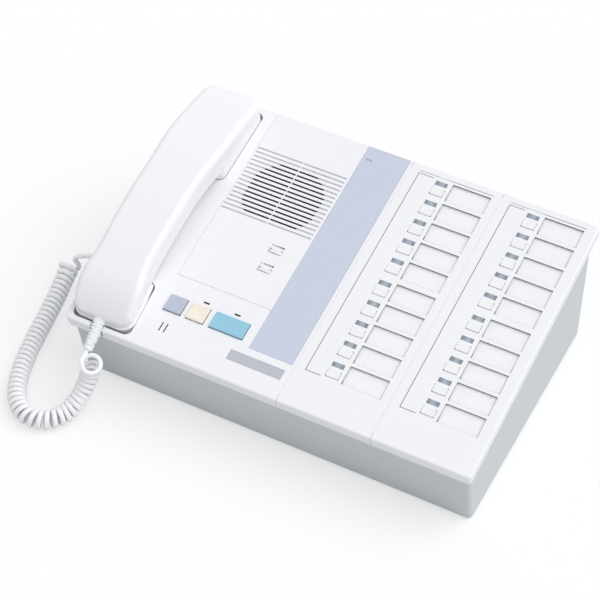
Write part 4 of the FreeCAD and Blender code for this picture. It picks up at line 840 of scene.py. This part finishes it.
# curls: the arm turns once per pitch about the route; the pitch opens in bends and at both ends
def curlPath():
    s = cordSet
    line, run = evenLine(readRoute(s["route"], "cordRoute"), s["lineSteps"])
    headings = unit(np.gradient(line, axis=0))
    bend = np.linalg.norm(np.gradient(headings, run, axis=0), axis=1)
    window = np.ones(2 * s["bendSteps"] + 1)
    bend = np.convolve(np.pad(bend, s["bendSteps"], "edge"), window / window.size, "valid")
    sides = carrySide(headings, (1.0, 0.0, 0.0))
    near = np.minimum(run, run[-1] - run)
    share = np.maximum(0.0, 1.0 - near / s["flareLength"])
    radius = s["curlRadius"] + s["flareRadius"] * share
    squeeze = 1.0 - s["curlRadius"] * bend
    pitch = np.maximum(s["pitch"], (s["wire"] + s["clear"]) / squeeze)
    pitch = pitch + s["flarePitch"] * share
    turned = np.r_[0.0, np.cumsum(np.diff(run) / pitch[:-1])]
    whole = round(float(turned[-1]))
    turns = whole + (s["startDeg"] - s["endDeg"]) / 360.0
    turned = turned * turns / turned[-1]
    wanted = np.linspace(0.0, turns, int(turns * s["stepsPerCurl"]))
    index = np.arange(len(run))
    at = np.interp(wanted, turned, index)

    def read(values):
        return np.stack([np.interp(at, index, values[:, k]) for k in range(3)], -1)

    centre = read(line)
    axis = unit(read(headings))
    across = read(sides)
    across = unit(across - axis * (across * axis).sum(-1, keepdims=True))
    phase = math.radians(s["startDeg"]) - 2 * np.pi * wanted[:, None]
    arm = across * np.cos(phase) + np.cross(axis, across) * np.sin(phase)
    reach = np.interp(at, index, radius)[:, None]
    return centre + arm * reach, arm, turns


# cord: a straight start at the relief's tip, lead, curls, lead, and a straight end at the plug
def makeCord(relief):
    s = cordSet
    curls, arms, turns = curlPath()
    tip = np.array(s["tip"])
    tipWay = unit(np.array(s["tipWay"]))
    boot = np.array(s["bootTip"])
    bootWay = np.array(s["bootWay"])
    firstWay = unit(curls[1] - curls[0])
    lastWay = unit(curls[-1] - curls[-2])
    start = tip + tipWay * s["wire"]
    end = boot - bootWay * s["wire"]
    leadIn = leadLine(start, tipWay, curls[0], firstWay)
    leadOut = leadLine(curls[-1], lastWay, end, bootWay)
    path = np.vstack([tip[None], leadIn[:-1], curls, leadOut[1:], boot[None]])
    before = np.repeat(arms[:1], len(leadIn), 0)
    after = np.repeat(arms[-1:], len(leadOut), 0)
    sides = np.vstack([before, arms, after])
    points = tubeGrid(path, sides, s["halfAcross"], s["halfAlong"], s["flatness"], s["sides"])
    run = np.r_[0.0, np.cumsum(np.linalg.norm(np.diff(path, axis=0), axis=1))]
    around = np.linspace(0, np.pi * s["wire"], s["sides"], endpoint=False)
    uv = np.stack(np.broadcast_arrays(around[None, :], run[:, None]), -1)
    cord = gridPiece("curlyCord", [points], "cordWhite", None, uv=uv)
    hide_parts("curly_cord")
    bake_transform(cord)
    print("curly cord:", round(turns, 2), "curls,", round(float(run[-1]), 3), "m")


# strain relief, in mm from its start on the top and down its own way
reliefSet = {
    "start": (-122.2, 7.2, 0.7),
    "dropDeg": 21.7,
    "from": -3.0,
    "to": 22.0,
    "steps": 300,
    "sides": 56,
    "wideRight": (4.6, 3.2),
    "wideUp": (4.0, 3.1),
    "notches": 8,
    "firstNotch": 3.6,
    "pitch": 2.15,
    "notchHalf": 0.42,
    "notchSoft": (0.7, 1.15),  # shares of notchHalf where its wall starts and ends
    "notchReach": (0.28, 0.42),
    "depth": 0.75,
    "tipRound": 0.9,
    "tipPinch": 0.5,
}


# smooth step from 0 at low to 1 at high
def smooth(value, low, high):
    t = np.clip((value - low) / (high - low), 0.0, 1.0)
    return t * t * (3.0 - 2.0 * t)


# relief: an oval that tapers from the first to the second width; every second notch is cut from
# the sides, the others from above and below; the tip is rounded by a quarter circle
def makeRelief():
    s = reliefSet
    drop = math.radians(s["dropDeg"])
    run = np.linspace(s["from"], s["to"], s["steps"])[:, None]
    angle = np.linspace(0, 2 * np.pi, s["sides"], endpoint=False)[None, :]
    share = np.clip(run / s["to"], 0.0, 1.0)
    right, up = (s[key][0] + (s[key][1] - s[key][0]) * share for key in ("wideRight", "wideUp"))
    index = np.clip(np.round((run - s["firstNotch"]) / s["pitch"]), 0, s["notches"] - 1)
    off = np.abs(run - s["firstNotch"] - index * s["pitch"])
    notch = 1.0 - smooth(off, *(s["notchHalf"] * soft for soft in s["notchSoft"]))
    reach = np.where(index % 2 == 0, np.abs(np.cos(angle)), np.abs(np.sin(angle)))
    depth = s["depth"] * notch * smooth(reach, *s["notchReach"])
    tip = np.clip((run - s["to"] + s["tipRound"]) / s["tipRound"], 0.0, 1.0)
    depth = depth + s["tipRound"] * (1.0 - np.sqrt(1.0 - tip**2)) + s["tipPinch"] * tip**4
    x = (right - depth) * np.cos(angle)
    z = (up - depth) * np.sin(angle)
    way = panelWay(0.0, -math.cos(drop), -math.sin(drop))
    over = panelWay(0.0, -math.sin(drop), math.cos(drop))
    offset = run[..., None] * way + x[..., None] * panelRight + z[..., None] * over
    points = onPanel(*s["start"]) + mm * offset
    relief = gridPiece("strainRelief", [points], "reliefWhite", "handset")
    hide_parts("handset_strain_relief")
    return relief


makeCord(makeRelief())


# speech keys and call buttons

keySet = {
    "low": -1.5,
    "corner": 0.8,
    "edge": 0.5,
    "dish": 0.22,
    "middle": 37.8,
    "length": 12.5,
    "rise": 1.6,
    "speech": {  # name: node, body, middle x, width, finish and slot
        "offKey": ("off_button", "off_key", -82.3, 12.6, "keyGreyBlue", "key_grey_blue"),
        "allCallKey": ("all_call_button", "all_call_key", -65.4, 12.6, "keyCream", "key_cream"),
        "talkKey": ("talk_button", "talk_key", -42.1, 24.6, "keyBlue", "key_blue"),
    },
    "callMiddle": 25.0,  # from a selector's left edge
    "callDrop": 10.0,  # from a row's rear edge
    "callWidth": 9.0,
    "callLength": 5.9,
    "callRise": 0.7,
    "callCorner": 1.0,
    "callEdge": 0.3,
    "callDish": 0.10,
    "wallSteps": 4,
    "edgeSteps": 8,
    "topSteps": 14,
    "topReach": 0.999,  # share of the half width where the closing fan starts
    "cornerSteps": 10,
    "cornerLeft": 0.25,  # share of a corner's radius that stays however far the inset goes
}


# rounded rectangle: corner arcs about points pulled in by the corner radius, for each inset
def roundedOutline(width, length, corner, inset):
    steps = keySet["cornerSteps"]
    quarter = np.linspace(0, np.pi / 2, steps)
    angle = np.concatenate([quarter + k * np.pi / 2 for k in range(4)])[None, :]
    signX = np.repeat([1.0, -1.0, -1.0, 1.0], steps)[None, :]
    signY = np.repeat([1.0, 1.0, -1.0, -1.0], steps)[None, :]
    inset = np.asarray(inset, float)[:, None]
    halfX = np.maximum(width / 2 - inset, 0.0)
    halfY = np.maximum(length / 2 - inset, 0.0)
    radius = np.maximum(corner - inset, keySet["cornerLeft"] * corner)
    radius = np.minimum(radius, np.minimum(halfX, halfY))
    x = signX * (halfX - radius) + radius * np.cos(angle)
    y = signY * (halfY - radius) + radius * np.sin(angle)
    return x, y


# cap: upright wall, a quarter round at the edge, then a top that sinks by the dish times one less
# the square of the share still to go
def capGrid(x, y, width, length, low, high, corner, edge, dish):
    turn = np.linspace(0, np.pi / 2, keySet["edgeSteps"])
    half = min(width, length) / 2
    inward = np.linspace(edge, half * keySet["topReach"], keySet["topSteps"])[1:]
    wall = np.linspace(low, high - edge, keySet["wallSteps"] + 1)[:-1]
    inset = np.concatenate([np.zeros(len(wall)), edge * (1 - np.cos(turn)), inward])
    top = high - dish * (1 - (1 - (inward - edge) / (half - edge)) ** 2)
    z = np.concatenate([wall, high - edge + edge * np.sin(turn), top])
    px, py = roundedOutline(width, length, corner, inset)
    return onPanel(x + px, y + py, np.broadcast_to(z[:, None], px.shape))


def makeKeys():
    s = keySet
    for name, (node, body, x, width, finish, slot) in s["speech"].items():
        size = (width, s["length"], s["low"], s["rise"], s["corner"], s["edge"], s["dish"])
        key = gridPiece(name, [capGrid(x, s["middle"], *size)], finish, body)
        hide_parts(node)
    size = (s["callWidth"], s["callLength"], s["low"], s["callRise"])
    shape = (s["callCorner"], s["callEdge"], s["callDish"])
    spots = [(left, row) for left in panel["selectorLefts"] for row in range(panel["rows"])]
    for number, (left, row) in enumerate(spots, 1):
        grid = capGrid(left + s["callMiddle"], rowRear(row) - s["callDrop"], *size, *shape)
        name = f"callButton{number:02d}"
        button = gridPiece(name, [grid], "callWhite", f"call_key_{number:02d}")
        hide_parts(f"call_button_{number:02d}")


makeKeys()
print("keys and call buttons made")


# volume thumbwheels

wheelSet = {
    "wheels": {  # name: node, body and middle along the top
        "ringWheel": ("ring_volume_wheel", "ring_wheel", 102.0),
        "receiveWheel": ("receive_volume_wheel", "receive_wheel", 86.1),
    },
    "x": -41.5,
    "height": -7.9,
    "radius": 9.0,
    "half": 1.45,
    "face": [(0.8, 0.0), (3.0, 0.0), (3.4, 0.3), (6.6, 0.3), (7.0, 0.0)],  # radius and sink
    "edge": 0.35,
    "edgeSteps": 6,
    "flutes": 30,
    "fluteDepth": 0.34,
    "fluteShape": 0.8,
    "fluteFrom": (1.4, 0.2),  # from the rim inwards: where flutes start and are full
    "samples": 8,
}


# wheel: profile of hub, face, rounded edge and rim turned about the axis; the rim dips by
# the upper half of cos(flutes * angle) to a power
def makeWheels():
    s = wheelSet
    turn = np.linspace(0, np.pi / 2, s["edgeSteps"])
    edgeR = s["radius"] - s["edge"] + s["edge"] * np.sin(turn)
    edgeY = s["half"] - s["edge"] + s["edge"] * np.cos(turn)
    inner, sink = np.array(s["face"]).T
    innerY = s["half"] - sink
    r = np.concatenate([inner, edgeR, edgeR[::-1], inner[::-1]])[:, None]
    y = np.concatenate([-innerY, -edgeY, edgeY[::-1], innerY[::-1]])[:, None]
    angle = np.linspace(0, 2 * np.pi, s["flutes"] * s["samples"], endpoint=False)[None, :]
    dip = np.clip(np.cos(s["flutes"] * angle), 0.0, 1.0) ** s["fluteShape"]
    near = smooth(r, *(s["radius"] - inwards for inwards in s["fluteFrom"]))
    reach = r - s["fluteDepth"] * dip * near
    for name, (node, body, along) in s["wheels"].items():
        x = s["x"] + reach * np.sin(angle)
        points = onPanel(x, along + y, s["height"] + reach * np.cos(angle))
        wheel = gridPiece(name, [points[:, ::-1]], "wheelWhite", body)
        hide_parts(node)


makeWheels()
print("volume wheels made")


# name cards and their clear windows

cardSet = {
    "middle": 46.6,  # from a selector's left edge
    "width": 27.3,
    "length": 14.4,
    "pocket": 14.8,
    "gap": 0.2,
    "frontDrop": 1.05,
    "rearDrop": 0.70,
    "card": (0.02, 0.20, 0.4, 0.05),  # bottom, top, corner and edge
    "window": (0.34, 1.03, 0.6, 0.15),
    "edgeSteps": 5,
    "faceSteps": 5,
}


# pocket floor = frontDrop below the top at the pocket's front, and rearDrop more at its rear
def pocketFloor(along, front):
    s = cardSet
    return -s["frontDrop"] - s["rearDrop"] * (along - front) / s["pocket"]


# slab: rounded rectangles at heights above the floor of the pocket that starts at front
def slabGrid(x, front, shape):
    s = cardSet
    y = front + s["gap"] + s["length"] / 2
    low, high, corner, edge = shape
    turn = np.linspace(0, np.pi / 2, s["edgeSteps"])
    steps = s["faceSteps"]
    reach = min(s["width"], s["length"]) / 2 * keySet["topReach"]
    inward = np.linspace(edge, reach, steps + 1)[1:]
    rise = np.concatenate([low + edge * (1 - np.cos(turn)), high - edge * (1 - np.sin(turn))])
    inset = np.concatenate([edge * (1 - np.sin(turn)), edge * (1 - np.cos(turn))])
    inset = np.concatenate([inward[::-1], inset, inward])
    rise = np.concatenate([np.full(steps, low), rise, np.full(steps, high)])
    px, py = roundedOutline(s["width"], s["length"], corner, inset)
    return onPanel(x + px, y + py, pocketFloor(y + py, front) + rise[:, None])


def makeCards():
    s = cardSet
    slabs = {"card": [], "window": []}
    for left in panel["selectorLefts"]:
        for row in range(panel["rows"]):
            for kind, grids in slabs.items():
                grids.append(slabGrid(left + s["middle"], rowRear(row) - s["pocket"], s[kind]))
    cards = gridPiece("nameCards", slabs["card"], "cardPaper", "station")
    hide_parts("name_cards")
    windows = gridPiece("cardWindows", slabs["window"], "clearSheet", "station")
    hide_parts("card_windows")


makeCards()
print("cards and windows made")


# tongues in the seams between the covers

tongueSet = {
    "middle": 104.0,
    "width": 0.22,
    "length": 198.0,
    "low": -2.0,
    "high": -0.16,
    "corner": 0.08,
    "edge": 0.03,
}


def makeTongues():
    s = tongueSet
    shape = (s["width"], s["length"], s["low"], s["high"], s["corner"], s["edge"], 0.0)
    grids = [capGrid(x, s["middle"], *shape) for x in panel["selectorLefts"]]
    tongues = gridPiece("seamTongues", grids, "coverWhite", "station")


makeTongues()
print("seam tongues made")


# rubber feet and case screws

# places of the feet and of the screw heads, and profiles of radius and height
underSet = {
    "feet": [(-124.0, -77.70), (130.0, -77.70), (-124.0, 76.27), (130.0, 76.27)],
    "footProfile": [
        (0.6, 0.35), (3.0, 0.35), (3.3, 0.10), (3.7, 0.0), (4.9, 0.0), (5.4, 0.10),
        (5.75, 0.35), (5.95, 0.75), (6.0, 1.2), (6.0, 2.5), (3.0, 2.5),
    ],
    "footSides": 64,
    "screws": [
        (-118.7, -41.17, 48.25), (-118.7, 21.74, 60.02), (3.5, -82.45, 40.52),
        (3.5, 82.68, 71.43), (44.4, -85.60, 39.93), (72.0, 82.68, 71.43),
        (111.4, -85.60, 39.93), (139.0, 82.68, 71.43),
    ],
    "screwProfile": [
        (0.12, 0.0), (0.3, 0.0), (0.5, 0.0), (0.7, 0.0), (0.9, 0.0), (1.1, 0.0),
        (1.3, 0.02), (1.5, 0.04), (1.7, 0.07), (2.0, 0.13), (2.4, 0.28), (2.7, 0.52),
        (2.85, 0.85), (2.9, 1.2), (2.9, 2.0), (1.5, 2.0), (1.5, 12.0), (0.8, 13.0),
    ],
    "screwSides": 96,
    "faceRings": 10,  # rings of the profile that the recess may sink
    "crossHalf": 0.34,
    "crossSoft": 0.08,
    "crossReach": 1.55,
    "crossTip": 0.45,  # share of the reach where the bars start to rise
    "crossDepth": 1.1,
}


# turned piece: a profile of radius and height carried round the centre
def turnedGrid(profile, place, sides):
    r, z = (np.array(values)[:, None] for values in zip(*profile))
    angle = np.linspace(0, 2 * np.pi, sides, endpoint=False)[None, :]
    x, y, z = np.broadcast_arrays(r * np.cos(angle), r * np.sin(angle), z)
    return x + place[0], y + place[1], z + place[2]


# cross recess: as deep as crossDepth where either bar covers the point, less towards the tips
def makeUnderside():
    s = underSet
    grids = []
    for spot in s["feet"]:
        foot = turnedGrid(s["footProfile"], (*spot, 0.0), s["footSides"])
        grids.append(mm * np.stack(foot, -1))
    piece = gridPiece("rubberFeet", grids, "rubberBlack", "station")
    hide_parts("rubber_feet")
    grids = []
    for spot in s["screws"]:
        x, y, z = turnedGrid(s["screwProfile"], spot, s["screwSides"])
        across = np.minimum(np.abs(x - spot[0]), np.abs(y - spot[1]))
        reach = np.hypot(x - spot[0], y - spot[1])
        half, soft = s["crossHalf"], s["crossSoft"]
        bar = 1.0 - smooth(across, half - soft, half + soft)
        tip = 1.0 - smooth(reach, s["crossReach"] * s["crossTip"], s["crossReach"])
        onFace = np.arange(len(s["screwProfile"]))[:, None] < s["faceRings"]
        grids.append(mm * np.stack([x, y, z + s["crossDepth"] * bar * tip * onFace], -1))
    piece = gridPiece("caseScrews", grids, "screwZinc", "station")
    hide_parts("case_screws")


makeUnderside()
print("feet and screws made")
